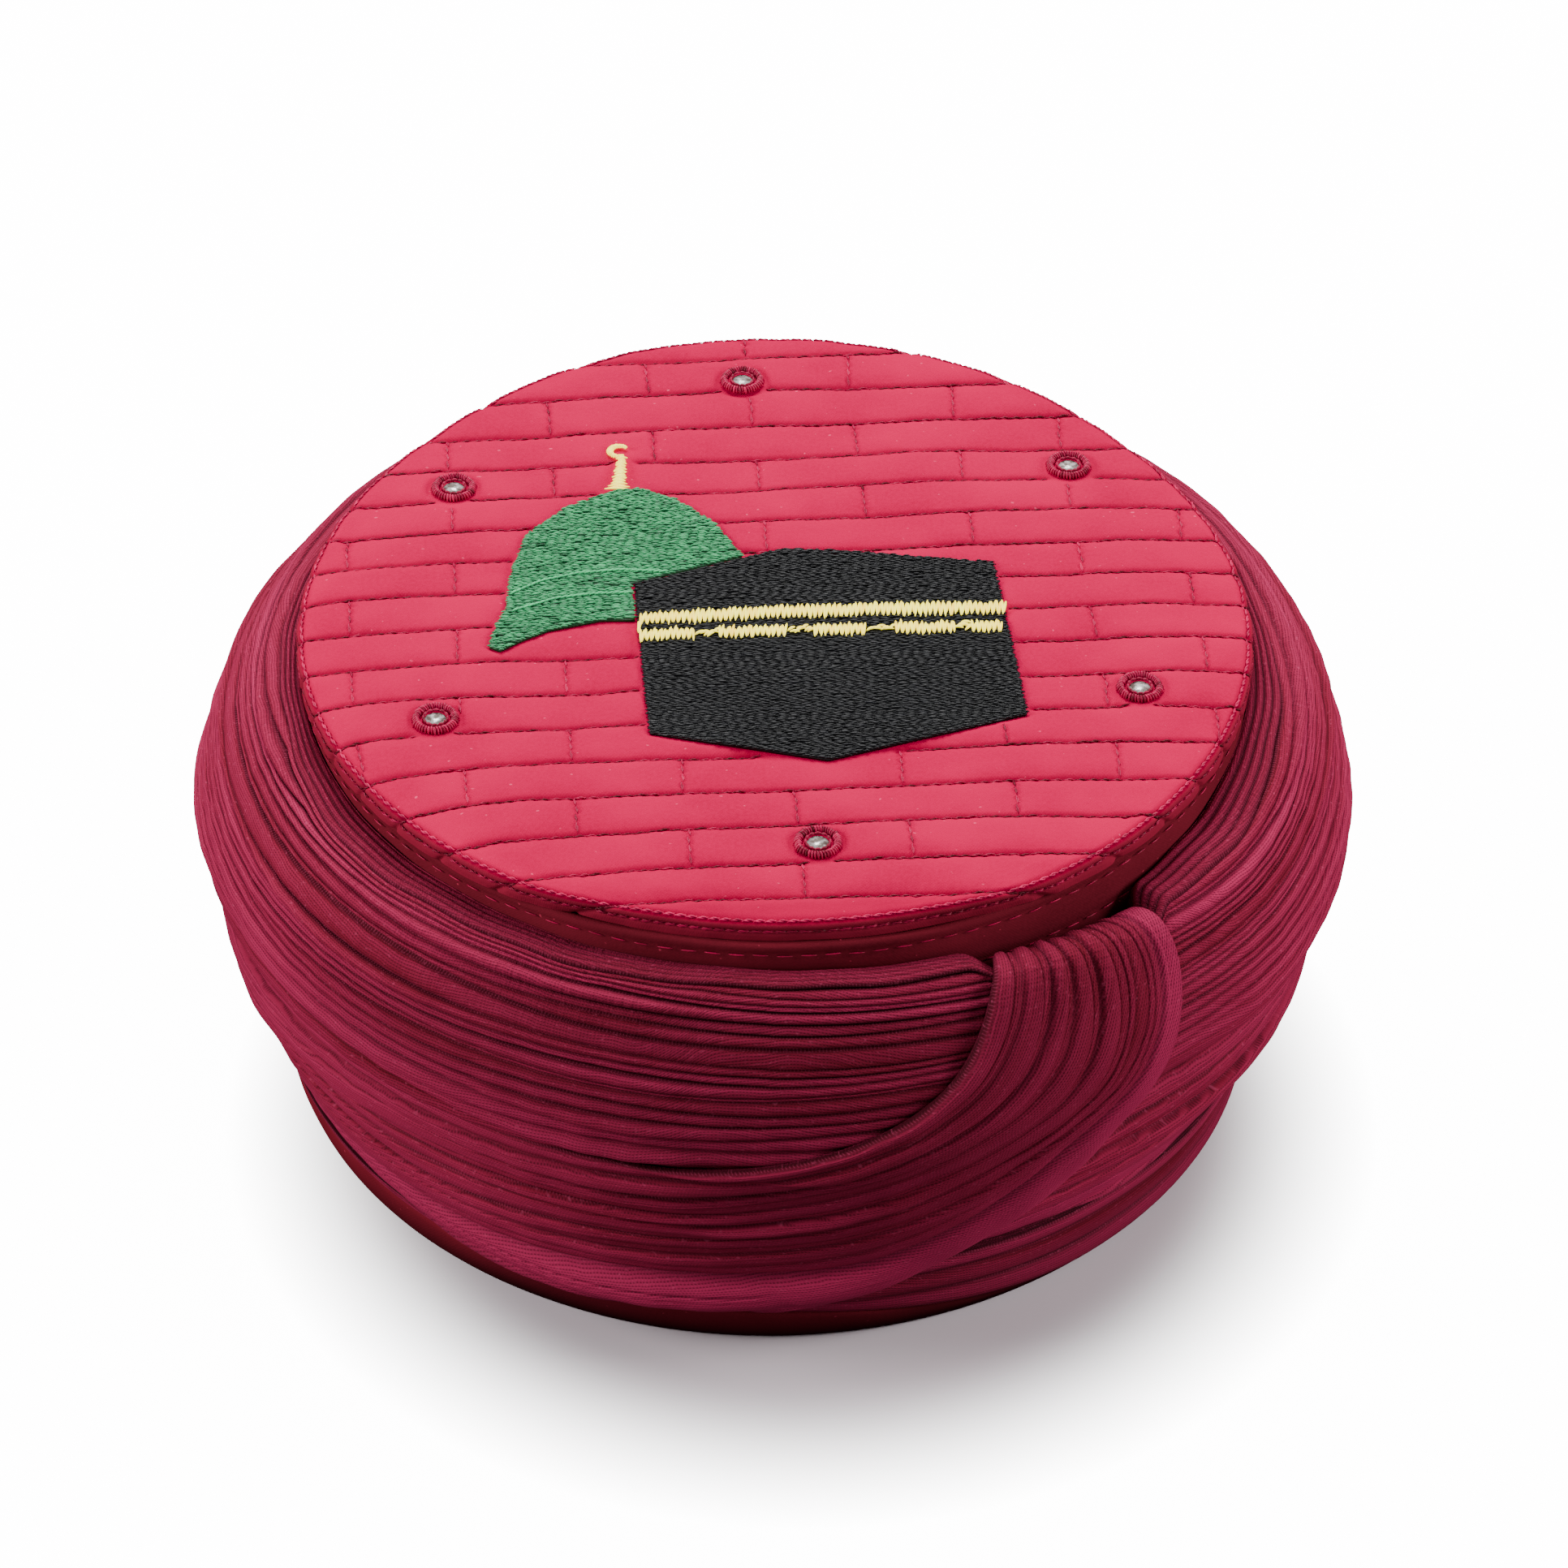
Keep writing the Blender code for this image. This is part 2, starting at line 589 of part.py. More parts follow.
def make_band(row, bottom, look, group):
    """A gold band, with necks between its blocks where it is the broken one."""
    broken = row.name.endswith("lower")
    upper, lower = [], []
    for step in range(BAND_STEPS + 1):
        share = step / BAND_STEPS
        x = BAND_LEFT + (BAND_RIGHT - BAND_LEFT) * share
        middle = row.left_y + (row.right_y - row.left_y) * share
        near_neck = any(abs(share - neck) < NECK_WIDTH for neck in BAND_NECKS)
        half = row.height / 2 * (NECK_HEIGHT if broken and near_neck else 1.0)
        upper.append((x, middle + half))
        lower.append((x, middle - half))
    points = upper + lower[::-1]
    if not broken:
        points = [upper[0], upper[-1], lower[-1], lower[0]]
    return flat_outline(row.name, in_metres(points), bottom, BAND_THICKNESS, look, group)


def on_crescent(degrees):
    """A point on the crescent's outside."""
    turn = math.radians(degrees)
    return (
        FINIAL_X + CRESCENT_OUTER * math.cos(turn),
        CRESCENT_Y + CRESCENT_OUTER * math.sin(turn),
    )


def make_finial(bottom, look, group):
    """The shaft's left side up, round the crescent and back, and the shaft's right side down."""
    left = [(FINIAL_X - row.half, row.y) for row in FINIAL_SHAFT]
    right = [(FINIAL_X + row.half, row.y) for row in FINIAL_SHAFT]
    foot, tip = 90 + CRESCENT_FOOT, 360 - CRESCENT_TIP
    outer, inner = [], []
    for step in range(CRESCENT_STEPS + 1):
        outer.append(on_crescent(-foot - (tip - foot) * step / CRESCENT_STEPS))
        inner_tip = CRESCENT_TIP - CRESCENT_TIP_SLIM
        turn = math.radians(inner_tip + (360 - 2 * inner_tip) * step / CRESCENT_STEPS)
        x = FINIAL_X + CRESCENT_SHIFT + CRESCENT_INNER * math.cos(turn)
        inner.append((x, CRESCENT_Y + CRESCENT_INNER * math.sin(turn)))
    last = [on_crescent(-CRESCENT_TIP), on_crescent(CRESCENT_FOOT - 90)]
    points = left + outer + inner + last + right[::-1]
    return flat_outline("dome_finial", in_metres(points), bottom, PATCH_THICKNESS, look, group)


def make_mirror(number, row, bottom, glass, thread, group):
    shape = bmesh.new()
    bmesh.ops.create_cone(
        shape,
        cap_ends=True,
        segments=MIRROR_STEPS,
        radius1=MIRROR_RADIUS,
        radius2=MIRROR_RADIUS,
        depth=MIRROR_THICKNESS,
    )
    mesh = bpy.data.meshes.new(f"mirror_{number}")
    shape.to_mesh(mesh)
    shape.free()
    piece = add_object(f"mirror_{number}", mesh, glass, group)
    piece.location = (row.x * MM, row.y * MM, bottom + MIRROR_THICKNESS / 2)

    name = f"mirror_ring_{number}"
    sections = []
    for step in range(MIRROR_STEPS):
        turn = 2 * math.pi * step / MIRROR_STEPS
        loop = []
        for side in range(RING_SIDES):
            angle = 2 * math.pi * side / RING_SIDES
            radius = RING_RADIUS + RING_HALF_WIDTH * math.cos(angle)
            height = RING_HALF_HEIGHT * math.sin(angle)
            loop.append((radius * math.cos(turn), radius * math.sin(turn), height))
        sections.append(loop)
    ring = lofted(name, sections, True, thread, group)
    ring.location = (row.x * MM, row.y * MM, bottom + RING_HALF_HEIGHT)


clear_scene()
turban = collection("wrapped_turban")
cutters = collection("cutters")

crown_cloth = material("crown_cloth", (0.62, 0.055, 0.115), 0.85)
cap_cloth = material("cap_cloth", (0.33, 0.018, 0.035), 0.85)
winding_cloth = material("winding_cloth", (0.27, 0.022, 0.06), 0.8)
crimson_thread = material("crimson_thread", (0.30, 0.010, 0.035), 0.5)
black_thread = material("black_thread", (0.012, 0.012, 0.016), 0.5)
green_thread = material("green_thread", (0.02, 0.21, 0.085), 0.5)
gold_thread = material("gold_thread", (0.83, 0.68, 0.17), 0.45)
mirror_glass = material("mirror_glass", (0.80, 0.80, 0.82), 0.08, 1.0)

make_crown(crown_cloth, turban, cutters)
make_side_band(cap_cloth, turban)
make_foot_band(cap_cloth, turban)
make_winding(winding_cloth, turban)
make_last_turn(winding_cloth, turban)

on_crown = CROWN_TOP + GAP
flat_outline(
    "building_patch", in_metres(BUILDING_OUTLINE), on_crown, PATCH_THICKNESS, black_thread, turban
)
flat_outline(
    "dome_patch", in_metres(DOME_OUTLINE), on_crown, PATCH_THICKNESS, green_thread, turban
)
for band in GOLD_BANDS:
    make_band(band, on_crown + PATCH_THICKNESS + GAP, gold_thread, turban)
make_finial(on_crown, gold_thread, turban)
for count, mirror in enumerate(MIRRORS, start=1):
    make_mirror(count, mirror, on_crown, mirror_glass, crimson_thread, turban)
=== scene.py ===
"""The looks of a ready-wound turban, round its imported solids.

+Z is up and the front faces -Y. Azimuths are degrees round +Z: 0 is the front, 90 the right of
the picture and 180 the back. Lengths are in millimetres until a mesh is made, in metres.
"""

import math

import bmesh
import bpy
import numpy as np
from mathutils import Matrix


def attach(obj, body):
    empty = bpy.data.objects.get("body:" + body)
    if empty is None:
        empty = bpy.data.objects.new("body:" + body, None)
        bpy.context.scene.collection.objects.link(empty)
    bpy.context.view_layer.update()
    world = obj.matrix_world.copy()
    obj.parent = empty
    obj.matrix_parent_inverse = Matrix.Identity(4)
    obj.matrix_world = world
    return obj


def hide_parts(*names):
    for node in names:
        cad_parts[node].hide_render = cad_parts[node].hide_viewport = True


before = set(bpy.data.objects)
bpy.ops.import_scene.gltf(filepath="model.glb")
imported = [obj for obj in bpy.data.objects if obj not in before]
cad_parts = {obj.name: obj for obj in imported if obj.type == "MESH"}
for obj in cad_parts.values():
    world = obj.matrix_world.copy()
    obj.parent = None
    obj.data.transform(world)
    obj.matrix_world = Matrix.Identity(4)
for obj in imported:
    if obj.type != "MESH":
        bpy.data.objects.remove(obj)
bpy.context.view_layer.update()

# The cap's wall: a stiffened band covered in plain crimson cotton, closed to a ring and sewn to
# the crown above. It is the stiff form that the long cloth is wound on.
MM = 0.001
WALL_THICK = 2.4
WALL_LOW = 1.5
WALL_HIGH = 93.1
WALL_FOOT_RADIUS = 93.8
WALL_TOP_RADIUS = 90.4
WALL_STITCH_LINES = (91.0, 83.4)
WALL_STITCH_DENT = 0.35
WALL_DENT_WIDTH = 0.8
WALL_GATHERS = 137
WALL_EDGE_ROUND = 0.6
# the wall's slight waves: how high, how many round it, and the height over which they lean
WALL_WAVES = ((0.14, 7, 17), (0.1, 19, -9))
# heights on the wall's outside, from its foot up, and on its inside, from its top down
WALL_OUTSIDE = (2.1, 20, 40, 60, 72, 78, 81, 82.2, 83, 83.4, 83.8, 84.6, 86, 88, 89.8, 90.5, 91)
WALL_OUTSIDE += (91.5, 92.3)
WALL_INSIDE = (92.5, 70, 47, 24, 2.1)
WALL_STEPS = 288
# a darker copy of the crown's cotton: painted shade on the upright wall
COTTON_COLOUR = (108, 28, 41)
COTTON_SHADE = (92, 22, 33)
COTTON_GRAIN = (112, 30, 44)
COTTON_LINT = (220, 70, 100)
COTTON_ROUGHNESS = 0.9
COTTON_BUMP = 0.06
# noise: grains to the metre along and across, detail, and the values stretched to 0 and 1
COTTON_GRAINS = (1400.0, 1400.0, 3.0, 0.3, 0.72)
COTTON_CLOUDS = (40.0, 40.0, 4.0, 0.35, 0.65)
LINT = (700.0, 900.0, 1.0, 0.74, 0.8)
WEAVE_PITCH = 0.32


def linear(colour):
    """A colour of 0 to 255 as linear values."""
    shares = np.array(colour, float) / 255
    low = shares / 12.92
    high = ((shares + 0.055) / 1.055) ** 2.4
    return (*np.where(shares <= 0.04045, low, high), 1.0)


def add_node(tree, kind, inputs=None, **settings):
    """A shader node, with its settings, and its inputs as values or as sockets to link."""
    made = tree.nodes.new(kind)
    for name, value in settings.items():
        setattr(made, name, value)
    for name, value in (inputs or {}).items():
        if isinstance(value, bpy.types.NodeSocket):
            tree.links.new(value, made.inputs[name])
        else:
            made.inputs[name].default_value = value
    return made


def calculate(tree, operation, first, second=0.0, clamp=False):
    made = add_node(tree, "ShaderNodeMath", {0: first, 1: second}, operation=operation)
    made.use_clamp = clamp
    return made.outputs[0]


def times(tree, first, second):
    return calculate(tree, "MULTIPLY", first, second)


def plus(tree, first, second, clamp=False):
    return calculate(tree, "ADD", first, second, clamp)


def split(tree, vector):
    """The three parts of a vector."""
    return add_node(tree, "ShaderNodeSeparateXYZ", {0: vector}).outputs


def own_place(tree):
    """The place on the piece, in its own metres."""
    return add_node(tree, "ShaderNodeTexCoord").outputs["Object"]


def carried(tree, name):
    """A value that the piece's mesh carries."""
    return add_node(tree, "ShaderNodeAttribute", attribute_name=name).outputs["Fac"]


def mix_colour(tree, share, first, second):
    """Two colours mixed. Each is a socket or a colour of 0 to 255."""
    first = first if isinstance(first, bpy.types.NodeSocket) else linear(first)
    second = second if isinstance(second, bpy.types.NodeSocket) else linear(second)
    inputs = {0: share, 6: first, 7: second}
    return add_node(tree, "ShaderNodeMix", inputs, data_type="RGBA").outputs[2]


def spread(tree, value, low, high):
    """A value between low and high, stretched to 0 to 1."""
    inputs = {"Value": value, "From Min": low, "From Max": high}
    return add_node(tree, "ShaderNodeMapRange", inputs).outputs[0]


def new_finish(name, roughness, specular, sheen=0.0, sheen_tint=(255, 255, 255), metallic=0.0):
    """An empty finish: the material, its node tree and its shader."""
    finish = bpy.data.materials.new(name)
    finish.use_nodes = True
    shader = finish.node_tree.nodes["Principled BSDF"]
    shader.inputs["Roughness"].default_value = roughness
    shader.inputs["Specular IOR Level"].default_value = specular
    shader.inputs["Metallic"].default_value = metallic
    shader.inputs["Sheen Weight"].default_value = sheen
    shader.inputs["Sheen Roughness"].default_value = 0.5
    shader.inputs["Sheen Tint"].default_value = linear(sheen_tint)
    return finish, finish.node_tree, shader


def bumped(tree, shader, height, strength, distance):
    """Gives the shader a bump of the height, in millimetres at full height."""
    inputs = {"Height": height, "Strength": strength, "Distance": distance * MM}
    bump = add_node(tree, "ShaderNodeBump", inputs)
    tree.links.new(bump.outputs[0], shader.inputs["Normal"])


def noise(tree, place, scale, detail):
    """Noise of that scale at a place: its value and its colour."""
    inputs = {"Vector": place, "Scale": scale, "Detail": detail}
    return add_node(tree, "ShaderNodeTexNoise", inputs).outputs


def laid_over(finish, share, colour, most=1.0):
    """Mixes another colour over the finish's own, by a share of most."""
    tree = finish.node_tree
    base = tree.nodes["Principled BSDF"].inputs["Base Color"]
    own = base.links[0].from_socket
    tree.links.new(mix_colour(tree, times(tree, share, most), own, colour), base)


def stretched_noise(tree, cloth, along, across, detail, low, high, through=1.0):
    """Noise with that many grains to the metre along, across and through the cloth, from 0 to 1."""
    scaled = add_node(tree, "ShaderNodeMapping", {0: cloth, 3: (along, across, through)}).outputs[0]
    return spread(tree, noise(tree, scaled, 1.0, detail)[0], low, high)


def plain_cotton(name, colour, shade, thread, lint_colour):
    """Close plain-woven cotton with a little lint, laid out by the piece's UV map, in metres."""
    finish, tree, shader = new_finish(name, COTTON_ROUGHNESS, 0.0)
    cloth = add_node(tree, "ShaderNodeUVMap", uv_map="cloth").outputs[0]
    parts = split(tree, cloth)
    turns = math.pi / (WEAVE_PITCH * MM)
    warp = calculate(tree, "SINE", times(tree, parts[0], turns))
    weft = calculate(tree, "SINE", times(tree, parts[1], turns))
    weave = times(tree, warp, weft)
    grain = stretched_noise(tree, cloth, *COTTON_GRAINS)
    clouds = stretched_noise(tree, cloth, *COTTON_CLOUDS)
    lint = stretched_noise(tree, cloth, *LINT)
    tree.links.new(mix_colour(tree, clouds, shade, colour), shader.inputs["Base Color"])
    laid_over(finish, grain, thread, 0.5)
    laid_over(finish, lint, lint_colour, 0.5)
    height = plus(tree, times(tree, weave, 0.3), grain)
    bumped(tree, shader, height, strength=0.5, distance=COTTON_BUMP)
    return finish


def read_all(items, name, kind=int):
    """A whole number of each of a mesh's loops or faces, or each vertex's place."""
    values = np.empty(len(items) * (3 if name == "co" else 1), kind)
    items.foreach_get(name, values)
    return values.reshape(-1, 3) if name == "co" else values


def as_mesh(shape, name):
    """The shape as a mesh, once nothing more is done to it."""
    mesh = bpy.data.meshes.new(name)
    shape.to_mesh(mesh)
    shape.free()
    return mesh


def set_up(name, data):
    """An object of the data, placed in the scene."""
    made = bpy.data.objects.new(name, data)
    bpy.context.scene.collection.objects.link(made)
    return made


def give_uv(mesh, uvs):
    """The mesh's UV map, from one place in metres for each of its loops."""
    layer = mesh.uv_layers.new(name="cloth")
    layer.data.foreach_set("uv", uvs.astype(np.float32).ravel())


def give_value(mesh, name, values):
    """A value that the mesh carries, one for each of its vertices."""
    mesh.attributes.new(name, "FLOAT", "POINT").data.foreach_set("value", values.astype(np.float32))


def round_uv(mesh):
    """A UV map in metres, round the Z axis and up, with its seam at the back."""
    co = read_all(mesh.vertices, "co", float)
    radius = np.hypot(co[:, 0], co[:, 1])
    turn = np.arctan2(co[:, 0], -co[:, 1])
    owners = read_all(mesh.loops, "vertex_index")
    starts = read_all(mesh.polygons, "loop_start")
    first = np.repeat(turn[owners[starts]], read_all(mesh.polygons, "loop_total"))
    turns = turn[owners]
    turns = turns + math.tau * np.round((first - turns) / math.tau)
    across = co[owners, 2] - (radius[owners] - radius.mean())
    give_uv(mesh, np.column_stack([turns * radius.mean(), across]))


def finished(name, mesh, finish, stands_for=()):
    """Makes a piece of a mesh whose lengths are in metres, and gives it to the part."""
    mesh.shade_smooth()
    mesh.materials.append(finish)
    piece = set_up(name, mesh)
    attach(piece, "root")
    if stands_for:
        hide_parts(*stands_for)
    return piece


def spun(name, profile, steps):
    """A ring: a closed profile of (radius, height), spun round Z."""
    shape = bmesh.new()
    points = [shape.verts.new((radius * MM, 0.0, height * MM)) for radius, height in profile]
    edges = [shape.edges.new((points[i - 1], points[i])) for i in range(len(points))]
    bmesh.ops.spin(
        shape,
        geom=points + edges,
        cent=(0, 0, 0),
        axis=(0, 0, 1),
        angle=math.tau,
        steps=steps,
        use_merge=True,
    )
    bmesh.ops.recalc_face_normals(shape, faces=shape.faces)
    return as_mesh(shape, name)


def bell(away, width):
    """1 on a line, falling off smoothly to both sides of it."""
    return np.exp(-((away / width) ** 2))


def wall_radius(height):
    return WALL_FOOT_RADIUS + (WALL_TOP_RADIUS - WALL_FOOT_RADIUS) * height / WALL_HIGH


def pushed_out(mesh, moved):
    """Moves each vertex outwards by a function of its azimuth in radians, height and radius."""
    for vert in mesh.vertices:
        x, y, z = np.array(vert.co) / MM
        radius = math.hypot(x, y)
        grown = 1 + moved(math.atan2(x, -y), z, radius) / radius
        vert.co.x *= grown
        vert.co.y *= grown


def make_wall():
    profile = [(wall_radius(WALL_LOW) - WALL_EDGE_ROUND, WALL_LOW)]
    profile += [(wall_radius(height), height) for height in WALL_OUTSIDE]
    profile.append((wall_radius(WALL_HIGH) - WALL_EDGE_ROUND, WALL_HIGH))
    profile += [(wall_radius(height) - WALL_THICK, height) for height in WALL_INSIDE]
    profile.append((wall_radius(WALL_LOW) - WALL_THICK + WALL_EDGE_ROUND, WALL_LOW))
    mesh = spun("cap_wall", profile, WALL_STEPS)

    def moved(turn, height, radius):
        dent = sum(bell(height - line, WALL_DENT_WIDTH) for line in WALL_STITCH_LINES)
        gathers = 1 + 0.5 * math.sin(turn * WALL_GATHERS)
        outside = radius > wall_radius(height) - WALL_THICK / 2
        wave = sum(size * math.sin(count * turn + height / lean) for size, count, lean in WALL_WAVES)
        return wave - (WALL_STITCH_DENT * dent * gathers if outside else 0.0)

    pushed_out(mesh, moved)
    round_uv(mesh)
    wall = finished("cap_wall", mesh, cotton, ["side_band"])


cotton = plain_cotton("wall_cotton", COTTON_COLOUR, COTTON_SHADE, COTTON_GRAIN, COTTON_LINT)
make_wall()

# The hem: the cap's cotton turned under the wall's lower edge and sewn, so that it shows as a
# plain redder band below the winding. The turban stands on it.
HEM_HEIGHT = 8.0
HEM_CLOTH = 1.2
HEM_RADIUS = 95.7
HEM_FLARE = 1.4
HEM_LEFTWARD = 1.2
HEM_BULGE = 0.35
HEM_FACE_STEPS = 8
HEM_FACE_LOW = 0.6
HEM_FACE_HIGH = 0.5
# the rounding of the foot: how far in and how high
HEM_FOOT_ROUND = ((0.25, 0.2), (0.8, 0.0))
HEM_TOP_ROUND = 0.4
HEM_COLOUR = (128, 32, 46)
HEM_SHADE = (110, 26, 38)
HEM_FOOT_SHADOW = (34, 10, 14)
# painted shadow from nothing to most, in metres: by height, and in front by the piece's own Y
HEM_SHADOW_HEIGHT = (0.012, 0.001)
HEM_SHADOW_FRONT = (-0.02, -0.085)
GAP = 0.3
# azimuth, and the share of the hem's height that the winding leaves free there
HEM_SHOWN = [(-180, 1.0), (-5, 1.0), (40, 0.04), (130, 0.04), (180, 1.0)]


def eased(t):
    t = np.clip(t, 0.0, 1.0)
    return t * t * (3 - 2 * t)


def eased_read(table, column, azimuth):
    """A column of a table of azimuths, easing from row to row."""
    values = np.array(table, float)
    xs = values[:, 0]
    azimuth = (np.asarray(azimuth, float) + 180) % 360 - 180
    i = np.clip(np.searchsorted(xs, azimuth, side="right") - 1, 0, len(xs) - 2)
    share = eased((azimuth - xs[i]) / (xs[i + 1] - xs[i]))
    return values[i, column] * (1 - share) + values[i + 1, column] * share


def hem_top(azimuth):
    return HEM_CLOTH + (HEM_HEIGHT - HEM_CLOTH) * eased_read(HEM_SHOWN, 1, azimuth)


def make_hem():
    inner_low = wall_radius(HEM_CLOTH) - WALL_THICK - GAP
    inner_high = wall_radius(HEM_HEIGHT) - WALL_THICK - GAP
    face = HEM_HEIGHT - HEM_FACE_HIGH - HEM_FACE_LOW
    profile = []
    for step in range(HEM_FACE_STEPS + 1):
        height = HEM_HEIGHT - HEM_FACE_HIGH - face * step / HEM_FACE_STEPS
        bulge = HEM_BULGE * math.sin(math.pi * step / HEM_FACE_STEPS)
        profile.append((HEM_RADIUS + HEM_FLARE * height / HEM_HEIGHT + bulge, height))
    profile += [(HEM_RADIUS - inset, height) for inset, height in HEM_FOOT_ROUND]
    profile += [
        (inner_low - HEM_CLOTH / 2, 0.0),
        (inner_low - HEM_CLOTH, HEM_CLOTH / 2),
        (inner_high - HEM_CLOTH, HEM_HEIGHT),
        (inner_high, HEM_HEIGHT),
        (inner_low, HEM_CLOTH),
        (wall_radius(HEM_CLOTH) + GAP, HEM_CLOTH),
        (wall_radius(HEM_HEIGHT) + GAP, HEM_HEIGHT),
        (HEM_RADIUS + HEM_FLARE - HEM_TOP_ROUND, HEM_HEIGHT),
    ]
    mesh = spun("hem", profile, WALL_STEPS)

    def moved(turn, height, radius):
        if radius < HEM_RADIUS - HEM_CLOTH:
            return 0.0
        share = min(height / HEM_HEIGHT, 1.0)
        shown = float(eased_read(HEM_SHOWN, 1, math.degrees(turn)))
        wave = 0.15 * math.sin(9 * turn + 1) + 0.1 * math.sin(31 * turn + height / 3)
        return -HEM_LEFTWARD * math.sin(turn) + share * (wave - HEM_FLARE * (1 - shown))

    pushed_out(mesh, moved)
    for vert in mesh.vertices:
        if vert.co.z > HEM_CLOTH * MM:
            shown = eased_read(HEM_SHOWN, 1, math.degrees(math.atan2(vert.co.x, -vert.co.y)))
            vert.co.z = HEM_CLOTH * MM + (vert.co.z - HEM_CLOTH * MM) * shown
    round_uv(mesh)
    finish = plain_cotton("hem_cotton", HEM_COLOUR, HEM_SHADE, HEM_COLOUR, COTTON_LINT)
    tree = finish.node_tree
    _, y, level = split(tree, own_place(tree))
    # a painted contact shadow, darkest low down at the front
    low = spread(tree, level, *HEM_SHADOW_HEIGHT)
    laid_over(finish, times(tree, low, spread(tree, y, *HEM_SHADOW_FRONT)), HEM_FOOT_SHADOW)
    hem = finished("hem", mesh, finish, ["foot_band"])


make_hem()

# The crown: a disc of the same cotton over thin padding, quilted in straight rows, with short
# cross lines set like brickwork. Its edge rolls over the wall and is sewn down in two rounds, and
# it is pressed flat under the embroidery and the mirrors.
CROWN_TOP = 97.4
CROWN_BOTTOM = 93.4
CROWN_FLAT = 89.1
ROLL_OUT = 1.9
ROLL_DOWN = 1.7
ROLL_ARC = math.pi / 2 * math.sqrt((ROLL_OUT**2 + ROLL_DOWN**2) / 2)
SKIRT = CROWN_TOP - ROLL_DOWN - CROWN_BOTTOM
CROWN_REACH = CROWN_FLAT + ROLL_ARC + SKIRT
ROUND_UPPER = CROWN_FLAT + 1.0
ROUND_LOWER = CROWN_FLAT + ROLL_ARC + 0.2
ROW_TURN = math.radians(4.25)
ROW_PITCH = 10.4
ROW_COUNT = 17
FIRST_ROW = 84.1
# near the edge the rows' ends bend forwards, and more so at the front left
ROW_HOOK = 2.4
ROW_HOOK_MORE = 5.0
ROW_HOOK_MORE_BY = 60
ROW_HOOK_LENGTH = 9.0
ROW_WANDER = 0.45
ROW_WANDER_LENGTH = 60
ROW_WANDER_FADE = 25
ROW_STITCH = 2.25
JOINT_PITCH = 40.4
PUFF = 0.6
PUFF_WIDTH = 2.0
ROW_DEPTH = 0.55
ROW_WIDTH = 0.5
JOINT_DEPTH = 0.3
JOINT_WIDTH = 0.9
JOINT_NOTCH = 2.6
PUCKER = 0.1
PUCKER_WIDTH = 1.3
ROUND_UPPER_DEPTH = 0.3
ROUND_UPPER_WIDTH = 0.55
ROUND_LOWER_DEPTH = 0.4
ROUND_LOWER_WIDTH = 0.5
PADDING_SUNK = 0.28
PRESSED_LEVEL = -0.1
PRESSED_EDGE = 1.6
CROWN_WAVE = 0.42
CROWN_WAVE_LENGTH = 46
CROWN_RIPPLE = 0.13
CROWN_RIPPLE_LENGTH = 9
# the back of the disc rises a little, and its front edge is pulled back and droops, with painted
# shade along it
BACK_LIFT = 2.7
BACK_LIFT_FROM = 56.0
FRONT_PULL = 2.6
FRONT_DROOP = 0.6
FRONT_FROM = 76.0
FRONT_SHADE = 0.45
# the columns along the rows, and the lines across them
EDGE_SHARE = 0.93
MIDDLE_COLUMNS = 220
EDGE_COLUMNS = 28
STRIP_LINES = 15
LINE_CROWDING = 0.62
BACK_LINES = 26
BACK_CROWDING = 1.2
FRONT_LINES = 28
FRONT_CROWDING = 1.3
# what lies on the crown, seen from above
BUILDING_OUTLINE = [(-27, 9.5), (2, 21.5), (15, 20.5), (42, 17.5), (47, -29.5), (10, -43.5)]
BUILDING_OUTLINE += [(-23, -36)]
DOME_LEFT = [(-52, -11.5), (-54, -10.2), (-52.8, -3), (-51.2, 2), (-51, 12), (-48.5, 25), (-41, 34.5)]
DOME_RIGHT = [(-31, 40.3), (-27, 40.8), (-20, 37.5), (-12, 29.5), (-6.5, 19), (-28, 9.9)]
DOME_FOOT = [(-26.7, -1.6), (-33, -1.7), (-43, -5), (-48, -8.2)]
DOME_OUTLINE = DOME_LEFT + DOME_RIGHT + DOME_FOOT
FINIAL_OUTLINE = [(-34.5, 40.3), (-27, 40.3), (-29, 50), (-27.5, 56.5), (-33.5, 56.5), (-32, 50)]
MIRRORS = [(-7, 76.2), (58, 50), (68.5, -21), (8, -67), (-63, -32), (-63.5, 41)]
RING_OUTER = 4.6
CROWN_COLOUR = (191, 0, 67)
CROWN_SHADE = (173, 0, 59)
CROWN_GRAIN = (198, 0, 73)
CROWN_LINT = (255, 90, 130)
CROWN_PAINTED_SHADE = (112, 0, 30)
CROWN_RIM_SHADE = (136, 30, 52)
SEAM_SHADE = 0.6


def waves(x, y, length, seed, count=7):
    """Smooth uneven waves of about that length, between -1 and 1."""
    dice = np.random.default_rng(seed)
    total = np.zeros(np.broadcast(x, y).shape)
    for _ in range(count):
        turn, phase, stretch = dice.uniform(0, math.pi), dice.uniform(0, 6.3), dice.uniform(0.7, 1.5)
        along = math.cos(turn) * x + math.sin(turn) * y
        total = total + np.sin(math.tau * along * stretch / length + phase)
    return total / math.sqrt(count) / 1.5


def inside_by(outline, x, y):
    """How far points lie inside an outline, and below 0 outside it."""
    nearest = np.full(np.shape(x), 1e9)
    inside = np.zeros(np.shape(x), bool)
    for (ax, ay), (bx, by) in zip(outline, outline[1:] + outline[:1]):
        long = (bx - ax) ** 2 + (by - ay) ** 2
        share = np.clip(((x - ax) * (bx - ax) + (y - ay) * (by - ay)) / long, 0, 1)
        away = np.hypot(x - ax - share * (bx - ax), y - ay - share * (by - ay))
        nearest = np.minimum(nearest, away)
        if ay != by:
            crossed = (ay > y) != (by > y)
            inside ^= crossed & (x < ax + (y - ay) * (bx - ax) / (by - ay))
    return np.where(inside, nearest, -nearest)


